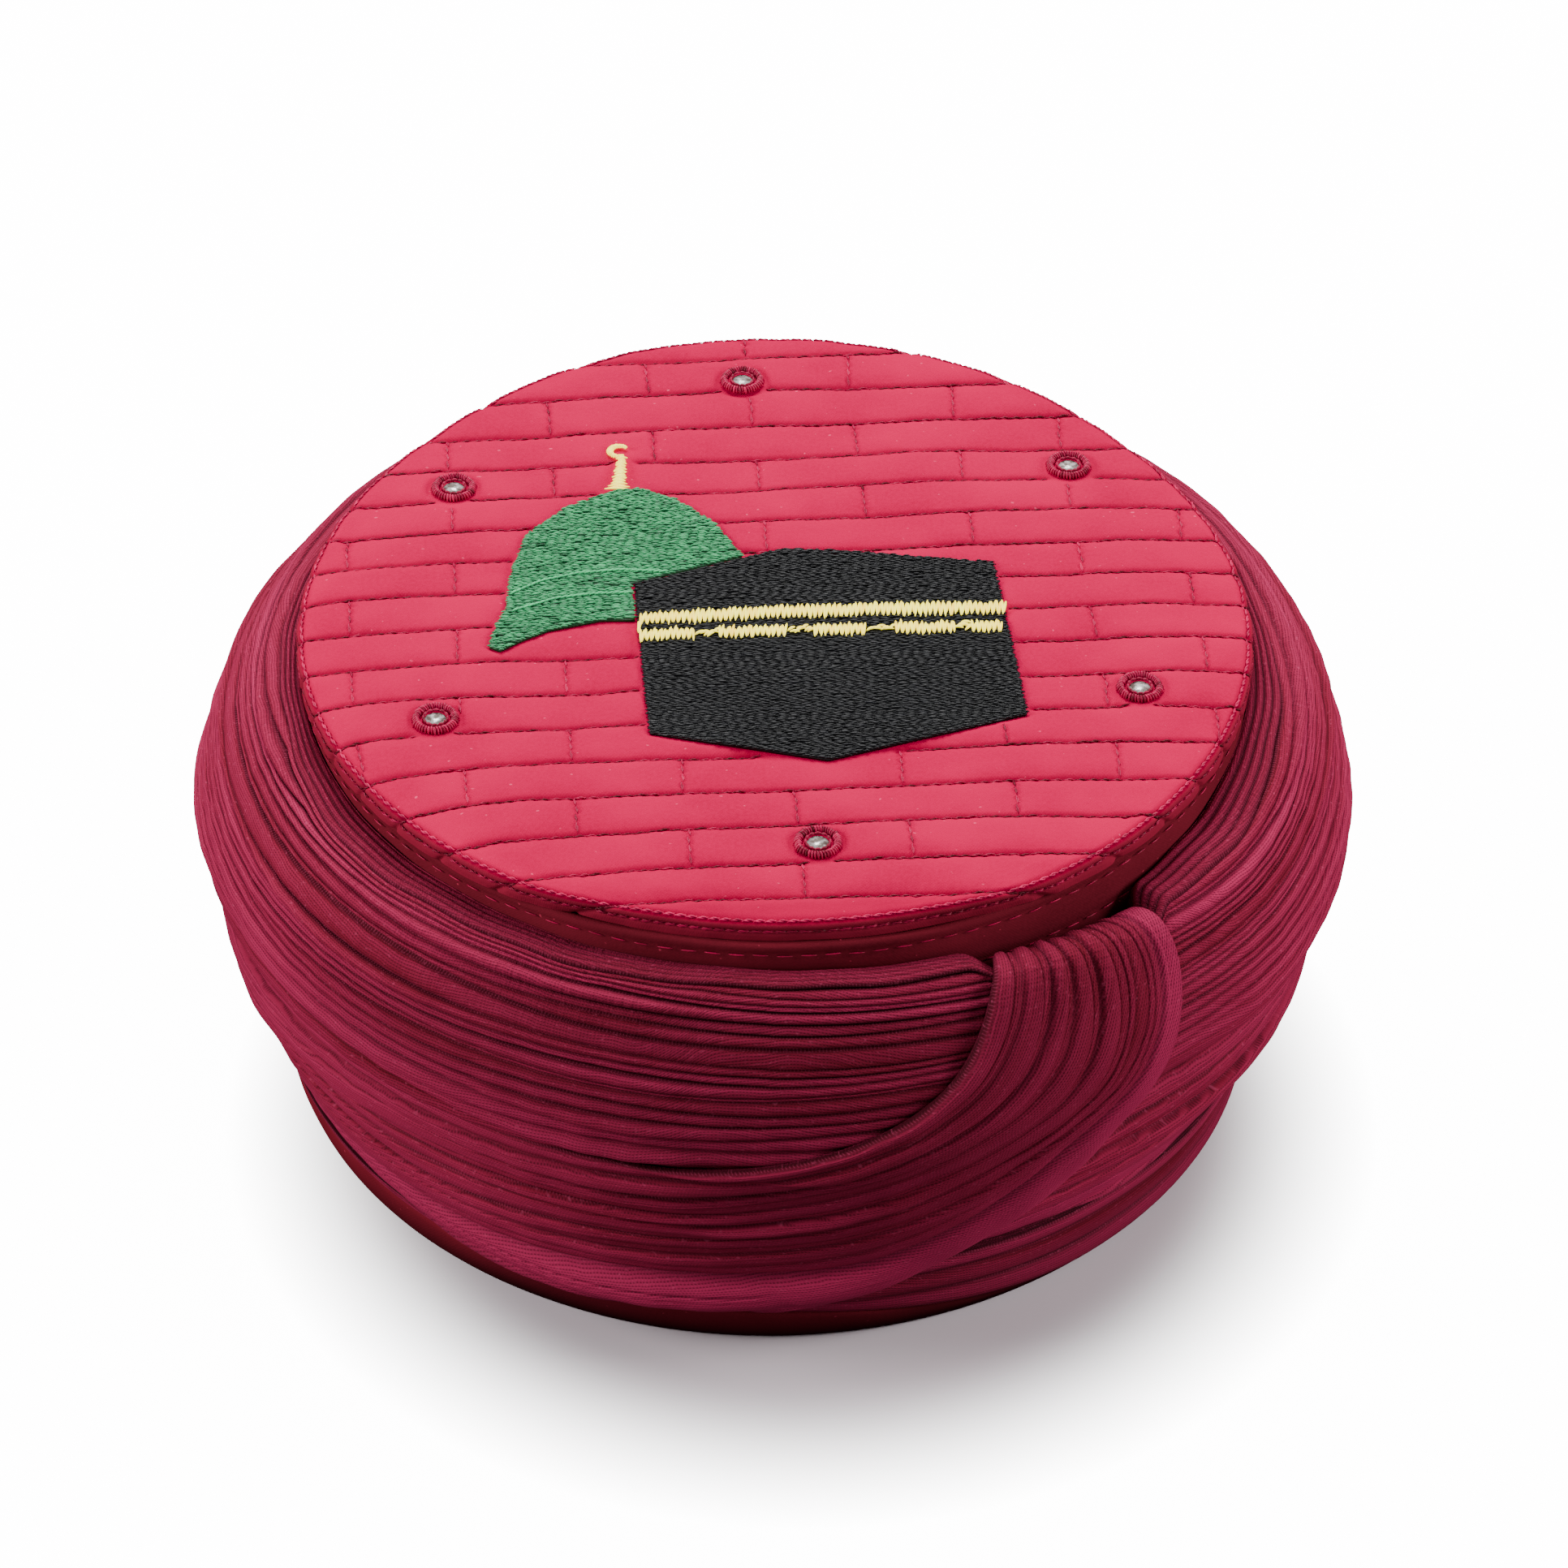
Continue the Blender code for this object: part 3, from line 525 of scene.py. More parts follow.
def pressed_share(x, y):
    """1 where the crown is pressed flat under embroidery or a mirror's ring, and 0 elsewhere."""
    depth = np.maximum(inside_by(BUILDING_OUTLINE, x, y), inside_by(DOME_OUTLINE, x, y))
    depth = np.maximum(depth, inside_by(FINIAL_OUTLINE, x, y))
    for mirror_x, mirror_y in MIRRORS:
        depth = np.maximum(depth, RING_OUTER - np.hypot(x - mirror_x, y - mirror_y))
    return eased(depth / PRESSED_EDGE + 0.9)


def quilted(along, across, reach, x, y):
    """How far the crown's skin stands proud of its plain form, and its painted shade.

    The painted shade is 0 to 1 down into a seam, and on to 2 over the rim.
    """
    row = (FIRST_ROW - across) / ROW_PITCH
    off_row = np.abs(row - np.clip(np.rint(row), 0, ROW_COUNT - 1)) * ROW_PITCH
    shift = np.where(np.floor(row) % 2 == 0, JOINT_PITCH / 2, 0.0)
    off_joint = np.abs((along - shift + JOINT_PITCH / 2) % JOINT_PITCH - JOINT_PITCH / 2)
    seam = bell(off_row, ROW_WIDTH)
    joint = bell(off_joint, JOINT_WIDTH) * (0.6 + 0.4 * np.cos(math.tau * across / JOINT_NOTCH))
    inner = eased((ROUND_UPPER - reach) / 4)
    puffed = PUFF * (1 - bell(off_row, PUFF_WIDTH)) * (0.35 + 0.65 * inner)
    puckers = np.sin(math.tau * along / ROW_STITCH) * bell(off_row, PUCKER_WIDTH) * PUCKER
    proud = puffed + puckers - ROW_DEPTH * seam - JOINT_DEPTH * joint * inner
    wave = CROWN_WAVE * waves(along, across, CROWN_WAVE_LENGTH, 61) * inner
    proud = proud + wave + CROWN_RIPPLE * waves(along, across, CROWN_RIPPLE_LENGTH, 62)
    proud = proud - PADDING_SUNK * inner
    pressed = pressed_share(x, y)
    proud = proud * (1 - pressed) + PRESSED_LEVEL * pressed
    upper = bell(reach - ROUND_UPPER, ROUND_UPPER_WIDTH)
    lower = bell(reach - ROUND_LOWER, ROUND_LOWER_WIDTH)
    seam = np.maximum(np.maximum(seam * (1 - pressed), 0.8 * upper), lower)
    rim = 2 * eased((reach - ROUND_UPPER) / 1.0)
    return proud - ROUND_UPPER_DEPTH * upper - ROUND_LOWER_DEPTH * lower, np.maximum(seam, rim)


def crown_plan(along, across):
    """Where a place along and across the quilting lies, seen from above."""
    inside = eased((CROWN_REACH - np.hypot(along, across)) / ROW_WANDER_FADE)
    moved = across + ROW_WANDER * inside * waves(along, across, ROW_WANDER_LENGTH, 63)
    x = math.cos(ROW_TURN) * along - math.sin(ROW_TURN) * moved
    y = math.sin(ROW_TURN) * along + math.cos(ROW_TURN) * moved
    return x, y


def back_lift(y):
    return BACK_LIFT * eased((y - BACK_LIFT_FROM) / (CROWN_FLAT - BACK_LIFT_FROM))


def crown_skin(along, across, lift=0.0):
    """Places on the crown's skin, by distance along and across the quilting, and their painted shade.
    """
    x, y = crown_plan(along, across)
    reach = np.hypot(x, y)
    angle = np.arctan2(y, x)
    hook = ROW_HOOK + ROW_HOOK_MORE * eased(-across / ROW_HOOK_MORE_BY) * (along < 0)
    hook = hook * np.exp(np.minimum(reach - ROUND_UPPER, 0) / ROW_HOOK_LENGTH)
    angle = angle - hook * np.cos(angle) / np.maximum(reach, 1)
    lean = np.clip((reach - CROWN_FLAT) / ROLL_ARC, 0, 1) * math.pi / 2
    proud, seam = quilted(along, across, reach, x, y)
    proud = proud + lift
    radius = np.minimum(reach, CROWN_FLAT) + ROLL_OUT * np.sin(lean) + proud * np.sin(lean)
    height = CROWN_TOP - ROLL_DOWN * (1 - np.cos(lean)) + proud * np.cos(lean)
    height = height - np.maximum(reach - CROWN_FLAT - ROLL_ARC, 0)
    height = height + back_lift(y)
    front = eased((-y - FRONT_FROM) / (CROWN_FLAT - FRONT_FROM))
    x, y = radius * np.cos(angle), radius * np.sin(angle) + FRONT_PULL * front
    places = np.stack([x, y, height - FRONT_DROOP * front], axis=-1)
    return places, np.maximum(seam, FRONT_SHADE * front)


def cloth_grid(name, places, uvs, attributes, closed_round=False):
    """A grid whose vertices are moved to their places, with its seams sewn and its ends closed.

    The arrays are by column, along the cloth, and by row, across it or round its section.
    """
    columns, rows = places.shape[0] - 1, places.shape[1] - 1
    shape = bmesh.new()
    bmesh.ops.create_grid(shape, x_segments=columns, y_segments=rows, size=0.5)
    mesh = as_mesh(shape, name)
    co = read_all(mesh.vertices, "co", float)
    column = np.rint((co[:, 0] + 0.5) * columns).astype(int)
    row = np.rint((co[:, 1] + 0.5) * rows).astype(int)
    mesh.vertices.foreach_set("co", (places[column, row] * MM).astype(np.float32).ravel())
    owners = read_all(mesh.loops, "vertex_index")
    give_uv(mesh, uvs[column[owners], row[owners]] * MM)
    for label, values in attributes.items():
        give_value(mesh, label, values[column, row])
    shape = bmesh.new()
    shape.from_mesh(mesh)
    bmesh.ops.remove_doubles(shape, verts=shape.verts, dist=0.002 * MM)
    if not closed_round:
        ends = [edge for edge in shape.edges if edge.is_boundary]
        bmesh.ops.holes_fill(shape, edges=ends, sides=0)
    bmesh.ops.recalc_face_normals(shape, faces=shape.faces)
    shape.to_mesh(mesh)
    shape.free()
    return mesh


def crown_lines():
    """Where the lines across the crown lie: crowded at each quilting row, finer at both ends."""
    ahead = np.linspace(0, 1, BACK_LINES, endpoint=False)
    lines = [CROWN_REACH - (CROWN_REACH - FIRST_ROW) * ahead**BACK_CROWDING]
    share = np.linspace(0, 1, STRIP_LINES, endpoint=False)
    crowded = share - LINE_CROWDING * np.sin(math.tau * share) / math.tau
    for row in range(ROW_COUNT - 1):
        lines.append(FIRST_ROW - (row + crowded) * ROW_PITCH)
    last = FIRST_ROW - (ROW_COUNT - 1) * ROW_PITCH
    ahead = np.linspace(0, 1, FRONT_LINES + 1)
    lines.append(-CROWN_REACH + (last + CROWN_REACH) * (1 - ahead) ** FRONT_CROWDING)
    return np.concatenate(lines)


def quilted_cotton():
    """The cotton again, in a brighter copy as painted light on the top, with painted shade in the
    seams, along the front edge and over the rim.
    """
    finish = plain_cotton("crown_cotton", CROWN_COLOUR, CROWN_SHADE, CROWN_GRAIN, CROWN_LINT)
    tree = finish.node_tree
    seam = carried(tree, "seam")
    # painted shade down in the seams and along the front edge, then over the rolled rim
    laid_over(finish, spread(tree, seam, 0.0, 1.0), CROWN_PAINTED_SHADE, SEAM_SHADE)
    laid_over(finish, spread(tree, seam, 1.0, 2.0), CROWN_RIM_SHADE)
    return finish


def make_crown():
    across = crown_lines()
    edge = np.linspace(EDGE_SHARE, 1, EDGE_COLUMNS + 1)[1:]
    middle = np.linspace(-EDGE_SHARE, EDGE_SHARE, MIDDLE_COLUMNS + 1)
    share = np.concatenate([-edge[::-1], middle, edge])
    half = np.sqrt(np.maximum(CROWN_REACH**2 - across**2, 0))
    along = share[:, None] * half[None, :]
    across = np.broadcast_to(across[None, :], along.shape)
    places, seam = crown_skin(along, across)
    mesh = cloth_grid("crown_cloth", places, np.stack([along, across], axis=-1), {"seam": seam})
    crown = finished("crown_cloth", mesh, quilted_cotton(), ["crown_top"])


make_crown()

# The sewing: two-ply thread, dark crimson along the quilting rows, and paler where it catches the
# light: in the cross lines, in the two rounds on the crown's edge, and in the two lines of running
# stitches that hold the wall's covering.
JOINT_STITCH = 2.3
WALL_STITCH = 4.3
# the joints' slant, and how far back the hindmost ones begin
JOINT_SLANT = 0.022
JOINTS_FROM = 90.5
# how a stitch runs along and across the rows, its tint and its width, in rows and in joints
ROW_THREAD = (1.0, 0.07, 0.2, 0.62)
JOINT_THREAD = (-0.1, 1.0, 0.5, 0.6)
ROUND_LEAN = 0.1
ROUND_WIDE = 0.68
QUILTING_HIGH = 0.62
PLACE_UNEVEN = 0.1
TINT_UNEVEN = 0.16
# the two rounds on the crown's edge: their distance out, tint and pitch
ROUNDS = ((ROUND_UPPER, 0.72, 2.2), (ROUND_LOWER, 0.36, 2.4))
SEWN_LIFT = 0.12
SEWN_OVERLAP = 2.35
THREAD_DARK = (84, 0, 20)
THREAD_LIGHT = (205, 14, 84)
THREAD_FIBRES = 2600.0
THREAD_UNEVEN = 0.7
# a stitch's form: sides, rings and arch, then its plies, their width, offset and twist
QUILTING_FORM = (4, 4, 0.15, 2, 0.58, 0.23, 1.6)
RUNNING_FORM = (5, 5, 0.25)
STITCH_TAPER = 3.6
STITCH_TIP = 0.1
UP = (0, 0, 1)
# the wall's stitches: length, width and height, tints, and how uneven in height and direction
WALL_THREAD = (2.8, 0.28, 0.3)
WALL_TINTS = (0.3, 0.75)
WALL_UNEVEN = (0.12, 0.03)


def stitch_shape(name, sides, rings, arch, plies=1, ply_width=1.0, ply_off=0.0, twist=0.0):
    """One stitch: 1 long along X, about 1 wide and high, tapered, its plies twisted together."""
    shape = bmesh.new()
    for ply in range(plies):
        old = set(shape.verts)
        bmesh.ops.create_cone(
            shape, cap_ends=True, segments=sides, radius1=0.5, radius2=0.5, depth=1.0
        )
        for cut in range(1, rings):
            mine = [vert for vert in shape.verts if vert not in old]
            edges = {edge for vert in mine for edge in vert.link_edges}
            faces = {face for vert in mine for face in vert.link_faces}
            bmesh.ops.bisect_plane(
                shape,
                geom=mine + list(edges) + list(faces),
                plane_co=(0, 0, cut / rings - 0.5),
                plane_no=(0, 0, 1),
            )
        for vert in shape.verts:
            if vert in old:
                continue
            x, y, along = vert.co
            thick = ply_width * math.sqrt(max(1 - STITCH_TAPER * along * along, STITCH_TIP))
            turn = twist * math.pi * along + math.tau * ply / plies
            side = x * thick + ply_off * math.cos(turn)
            rise = y * thick + ply_off * math.sin(turn) + arch * (1 - 4 * along * along)
            vert.co = (along, side, rise)
    bmesh.ops.recalc_face_normals(shape, faces=shape.faces)
    return as_mesh(shape, name)


def sewn(name, stitch, places, ahead, up, long, thick, high, tints):
    """Many copies of one stitch as one mesh, each with its place, direction, size and tint."""
    count = len(places)
    co = read_all(stitch.vertices, "co", float)[None]
    ahead = ahead / np.linalg.norm(ahead, axis=-1, keepdims=True)
    side = np.cross(np.broadcast_to(up, ahead.shape), ahead)
    side = side / np.linalg.norm(side, axis=-1, keepdims=True)
    above = np.cross(ahead, side)
    sizes = [np.broadcast_to(size, count)[:, None, None] for size in (long, thick, high)]
    points = places[:, None, :]
    for part, direction in enumerate((ahead, side, above)):
        points = points + co[..., part : part + 1] * sizes[part] * direction[:, None, :]
    each = len(stitch.vertices)
    faces = [tuple(face.vertices) for face in stitch.polygons]
    joined = [tuple(at + each * copy for at in face) for copy in range(count) for face in faces]
    mesh = bpy.data.meshes.new(name)
    mesh.from_pydata(points.reshape(-1, 3) * MM, [], joined)
    give_value(mesh, "tint", np.repeat(tints, each))
    return mesh


def thread_finish(name, dark, light, roughness=0.45, specular=0.2):
    """Spun thread: the tint of each stitch runs from dark to light."""
    finish, tree, shader = new_finish(name, roughness, specular)
    fibres = noise(tree, own_place(tree), THREAD_FIBRES, 2.0)[0]
    uneven = calculate(tree, "SUBTRACT", fibres, 0.5)
    mixed = plus(tree, carried(tree, "tint"), times(tree, uneven, THREAD_UNEVEN), clamp=True)
    tree.links.new(mix_colour(tree, mixed, dark, light), shader.inputs["Base Color"])
    bumped(tree, shader, fibres, strength=0.5, distance=0.08)
    return finish


def run_of_stitches(start, end, pitch):
    """The middles of stitches set end to end from start to end."""
    count = max(1, round((end - start) / pitch))
    return start + (np.arange(count) + 0.5) * (end - start) / count


def make_quilting_thread():
    dice = np.random.default_rng(71)
    along, across, ahead, tints, wide = [], [], [], [], []

    def lay(u, v, du, dv, tint, width):
        along.append(u)
        across.append(v)
        ahead.append(np.column_stack([du + 0 * u, dv + 0 * u]))
        tints.append(np.clip(tint + dice.normal(0, TINT_UNEVEN, len(u)), 0, 1))
        wide.append(np.full(len(u), width))

    for row in range(ROW_COUNT):
        offset = FIRST_ROW - row * ROW_PITCH
        half = math.sqrt(ROUND_LOWER**2 - offset**2)
        u = run_of_stitches(-half, half, ROW_STITCH)
        lay(u, offset + dice.normal(0, PLACE_UNEVEN, len(u)), *ROW_THREAD)
    for strip in range(-1, ROW_COUNT - 1):
        top = FIRST_ROW - strip * ROW_PITCH if strip >= 0 else JOINTS_FROM
        low = FIRST_ROW - (strip + 1) * ROW_PITCH
        shift = JOINT_PITCH / 2 if strip % 2 == 0 else 0.0
        for step in range(-3, 4):
            u = shift + step * JOINT_PITCH
            reach = math.hypot(u, max(abs(top), abs(low)))
            if reach > ROUND_UPPER + 0.8:
                continue
            v = run_of_stitches(low + 0.5, top - 0.5, JOINT_STITCH)
            slanted = u + JOINT_SLANT * (v - top) + dice.normal(0, PLACE_UNEVEN, len(v))
            lay(slanted, v, *JOINT_THREAD)
    for reach, tint, pitch in ROUNDS:
        turn = run_of_stitches(0, math.tau, pitch / reach)
        u, v = reach * np.cos(turn), reach * np.sin(turn)
        lay(u, v, ROUND_LEAN - np.sin(turn), ROUND_LEAN + np.cos(turn), tint, ROUND_WIDE)

    columns = [np.concatenate(column) for column in (along, across, ahead, tints, wide)]
    kept = pressed_share(*crown_plan(columns[0], columns[1])) < 0.4
    along, across, ahead, tints, wide = (column[kept] for column in columns)
    u, v = (ahead / np.linalg.norm(ahead, axis=1, keepdims=True)).T
    before = crown_skin(along - u, across - v, SEWN_LIFT)[0]
    after = crown_skin(along + u, across + v, SEWN_LIFT)[0]
    places = crown_skin(along, across, SEWN_LIFT)[0]
    aside = crown_skin(along - 0.5 * v, across + 0.5 * u, SEWN_LIFT)[0]
    ahead = after - before
    up = np.cross(ahead, aside - places)
    long = np.linalg.norm(ahead, axis=1) / 2 * SEWN_OVERLAP
    stitch = stitch_shape("quilting_stitch", *QUILTING_FORM)
    mesh = sewn("quilting_thread", stitch, places, ahead, up, long, wide, QUILTING_HIGH, tints)
    finished("quilting_thread", mesh, crimson_thread)


def make_wall_stitches():
    dice = np.random.default_rng(72)
    places, ahead = [], []
    for line in WALL_STITCH_LINES:
        turn = run_of_stitches(0, math.tau, WALL_STITCH / WALL_TOP_RADIUS)
        radius = wall_radius(line) + 0.02
        height = line + dice.normal(0, WALL_UNEVEN[0], len(turn))
        places.append(np.column_stack([radius * np.sin(turn), -radius * np.cos(turn), height]))
        lean = dice.normal(0, WALL_UNEVEN[1], len(turn))
        ahead.append(np.column_stack([np.cos(turn), np.sin(turn), lean]))
    places, ahead = np.concatenate(places), np.concatenate(ahead)
    up = places * (1, 1, 0)
    tints = dice.uniform(*WALL_TINTS, len(places))
    stitch = stitch_shape("running_stitch", *RUNNING_FORM)
    mesh = sewn("wall_stitches", stitch, places, ahead, up, *WALL_THREAD, tints)
    finished("wall_stitches", mesh, crimson_thread)


crimson_thread = thread_finish("crimson_thread", THREAD_DARK, THREAD_LIGHT)
make_quilting_thread()
make_wall_stitches()

# The embroidered building: black rayon thread in close rows of long stitches, which end unevenly
# at its sides, over a thin backing that holds them up.
BACKING_LOW = 97.45
BACKING_HIGH = 97.95
BUILDING_INSET = 0.35
# the rows' slant and pitch, a stitch's length, the share left out, the seed of their dice, then
# how high stitches lie over the backing at least, how much higher some do, and how they sway
BUILDING_ROWS = (0.045, 0.36, 2.0, 0.02, 81, 0.03, 0.12, 0.09)
# how much longer a stitch is than its share of the row, its width and its height
BUILDING_THREAD = (0.3, 0.44, 0.42)
BUILDING_TINTS = (1.3, 0.16)
FLAT_FORM = (5, 3, 0.22)
ROW_END_UNEVEN = 0.5
CUT_UNEVEN = 0.12
LEVEL_UNEVEN = 0.09
LEAST_STITCH = 0.5
BLACK_DARK = (2, 2, 4)
BLACK_LIGHT = (18, 18, 24)


def backed(name, stitches, outline, inset):
    """Stitches, as a mesh, with a thin flat plate of an outline under them."""
    shape = bmesh.new()
    shape.from_mesh(stitches)
    verts = [shape.verts.new((x * MM, y * MM, BACKING_LOW * MM)) for x, y in outline]
    face = shape.faces.new(verts)
    made = bmesh.ops.inset_region(shape, faces=[face], thickness=inset * MM)
    bmesh.ops.delete(shape, geom=made["faces"], context="FACES")
    bmesh.ops.delete(shape, geom=[vert for vert in verts if not vert.link_faces], context="VERTS")
    made = bmesh.ops.extrude_face_region(shape, geom=[face], use_keep_orig=True)
    raised = [part for part in made["geom"] if isinstance(part, bmesh.types.BMVert)]
    bmesh.ops.translate(shape, verts=raised, vec=(0, 0, (BACKING_HIGH - BACKING_LOW) * MM))
    bmesh.ops.recalc_face_normals(shape, faces=shape.faces)
    return as_mesh(shape, name)


def filled(outline, slant, pitch, length, missing, seed, lift, rough, sway):
    """Rows of stitches that fill an outline: their places, directions and lengths, and dice."""
    dice = np.random.default_rng(seed)
    corners = [(x, y - slant * x) for x, y in outline]
    low, high = min(y for _, y in corners), max(y for _, y in corners)
    middles, longs = [], []
    for level in np.arange(low + pitch / 2, high, pitch):
        crossings = []
        for (ax, ay), (bx, by) in zip(corners, corners[1:] + corners[:1]):
            if (ay > level) != (by > level):
                crossings.append(ax + (level - ay) * (bx - ax) / (by - ay))
        crossings.sort()
        for start, end in zip(crossings[::2], crossings[1::2]):
            start = start - dice.uniform(0, ROW_END_UNEVEN)
            end = end + dice.uniform(0, ROW_END_UNEVEN)
            cuts = np.arange(start - dice.uniform(0, length), end + length, length)
            cuts = np.clip(cuts + dice.normal(0, CUT_UNEVEN, len(cuts)), start, end)
            for first, second in zip(cuts[:-1], cuts[1:]):
                if second - first > LEAST_STITCH and dice.uniform() > missing:
                    across = level + dice.normal(0, LEVEL_UNEVEN)
                    middle = (first + second) / 2
                    middles.append((middle, across + slant * middle))
                    longs.append(second - first)
    dice = np.random.default_rng(seed + 1)
    count = len(middles)
    places = np.column_stack([middles, BACKING_HIGH + lift + dice.uniform(0, rough, count)])
    slants = slant + dice.normal(0, sway, count)
    ahead = np.column_stack([np.ones(count), slants, np.zeros(count)])
    return places, ahead, np.array(longs), dice


def make_building():
    places, ahead, longs, dice = filled(BUILDING_OUTLINE, *BUILDING_ROWS)
    tints = np.clip(dice.gamma(*BUILDING_TINTS, len(places)), 0, 1)
    stitch = stitch_shape("flat_stitch", *FLAT_FORM)
    more, thick, high = BUILDING_THREAD
    mesh = sewn("building_thread", stitch, places, ahead, UP, longs + more, thick, high, tints)
    mesh = backed("building_embroidery", mesh, BUILDING_OUTLINE, BUILDING_INSET)
    finished("building_embroidery", mesh, black_thread, ["building_patch"])


black_thread = thread_finish("black_thread", BLACK_DARK, BLACK_LIGHT, roughness=0.38, specular=0.22)
make_building()

# The embroidered dome: green thread in short stitches that leave small dark gaps, with two raised
# lines across its lower part whose stitches are tinted lighter.
DOME_INSET = 0.3
DOME_ROWS = (0.05, 0.4, 1.7, 0.05, 91, 0.02, 0.18, 0.1)
DOME_THREAD = (0.25, 0.46, 0.42)
DOME_TINTS = (0.46, 0.15)
SHORT_FORM = (5, 3, 0.25)
# the raised lines' stitches: pitch, length and width, how high they lie and how far they slant
DOME_LINE_PITCH = 1.1
DOME_LINE_THREAD = (1.9, 0.62)
DOME_LINE_LIFT = 0.42
DOME_LINE_SLANT = 0.35
DOME_LINE_TINTS = (0.7, 1)
GREEN_DARK = (4, 56, 26)
GREEN_LIGHT = (72, 190, 122)
DOME_LINES = [
    [(-50.5, 6), (-45, 10), (-38, 12.5), (-30, 13.7), (-21, 13.2)],
    [(-50, 0.5), (-47, 2), (-42, 4.5), (-35, 6), (-27.6, 6.5)],
]


def along_path(points, pitch):
    """Places and directions at an even pitch along a line through points."""
    points = np.array(points, float)
    lengths = np.concatenate([[0.0], np.cumsum(np.hypot(*np.diff(points[:, :2], axis=0).T))])
    wanted = run_of_stitches(0, lengths[-1], pitch)
    columns = [np.interp(wanted, lengths, points[:, part]) for part in range(points.shape[1])]
    steps = np.gradient(np.stack(columns[:2], axis=1), axis=0)
    return columns, steps / np.linalg.norm(steps, axis=1, keepdims=True)


def make_dome():
    places, ahead, longs, dice = filled(DOME_OUTLINE, *DOME_ROWS)
    tints = np.clip(dice.normal(*DOME_TINTS, len(places)), 0, 1)
    more, thick, high = DOME_THREAD
    parts = [(places, ahead, longs + more, np.full(len(places), thick), tints)]
    for line in DOME_LINES:
        (x, y), steps = along_path(line, DOME_LINE_PITCH)
        count = len(x)
        ahead = np.column_stack([steps, np.zeros(count)]) + (0, DOME_LINE_SLANT, 0)
        places = np.column_stack([x, y, np.full(count, BACKING_HIGH + DOME_LINE_LIFT)])
        long, thick = (np.full(count, size) for size in DOME_LINE_THREAD)
        parts.append((places, ahead, long, thick, dice.uniform(*DOME_LINE_TINTS, count)))
    places, ahead, long, thick, tints = (np.concatenate(column) for column in zip(*parts))
    stitch = stitch_shape("short_stitch", *SHORT_FORM)
    mesh = sewn("dome_thread", stitch, places, ahead, UP, long, thick, high, tints)
    mesh = backed("dome_embroidery", mesh, DOME_OUTLINE, DOME_INSET)
    finished("dome_embroidery", mesh, green_thread, ["dome_patch"])


green_thread = thread_finish("green_thread", GREEN_DARK, GREEN_LIGHT, roughness=0.42, specular=0.3)
make_dome()

# The gold thread: two bands of zigzag stitches across the building, the lower one in blocks with
# small knots between, and the dome's finial, with a crescent open to the right.
GOLD_DARK = (255, 200, 12)
GOLD_LIGHT = (255, 242, 74)
GOLD_PAINTED_GLOW = 0.9
GOLD_LEVEL = 98.45
GOLD_PITCH = 0.5
GOLD_HIGH = 0.5
BAND_THREAD = 0.58
FINIAL_THREAD = 0.56
FINIAL_SUNK = 0.55
BAND_ENDS = (-25.6, 44.2)
BAND_UNEVEN = 0.28
# every other stitch leans the other way
BAND_SLANTS = (-0.12, 0.42)
FINIAL_SLANTS = (-0.06, 0.18)
KNOTS = 7
KNOT_LENGTH = 1.9
GOLD_TINTS = (0.65, 0.22)
SATIN_FORM = (6, 6, 0.5)
# the short stitches down the side between the bands
SIDE_STITCHES = 6
SIDE_AT = (-25.9, -3.5)
SIDE_PITCH = 0.45
SIDE_LENGTH = 1.3
UPPER_BAND_TOP = [(-26, -0.2), (0, 2.5), (20, 3.7), (44, 4.3)]
UPPER_BAND_LOW = [(-25, -3.6), (0, -1.3), (20, -0.3), (44.5, 0.5)]
LOWER_BAND_TOP = [(-26, -5.4), (0, -3.7), (20, -2.6), (44, -1.8)]
LOWER_BAND_LOW = [(-26, -8.7), (0, -6.9), (20, -6.0), (44, -5.0)]
LOWER_BLOCKS = [(-25.5, -15), (-10.5, 2.5), (7.5, 17.5), (23, 34.5), (37.5, 43.2)]
# points up the finial's shaft, and half its width there
SHAFT_LOW = [(-31.2, 40.4, 2.7), (-31.1, 42.0, 1.7), (-31.0, 43.4, 1.1), (-31.0, 44.6, 1.4)]
SHAFT_MIDDLE = [(-30.9, 45.6, 0.9), (-30.9, 46.8, 1.3), (-30.8, 48.0, 0.8)]
SHAFT_TOP = [(-30.8, 49.2, 1.1), (-30.7, 50.4, 0.6), (-30.7, 51.2, 1.3)]
CRESCENT_MIDDLE = (-31.3, 53.4)
CRESCENT_RADIUS = 1.8
CRESCENT_ENDS = (42, 300)
CRESCENT_STEP = 11
CRESCENT_WIDTH = 0.75
CRESCENT_LEAN = 0.3


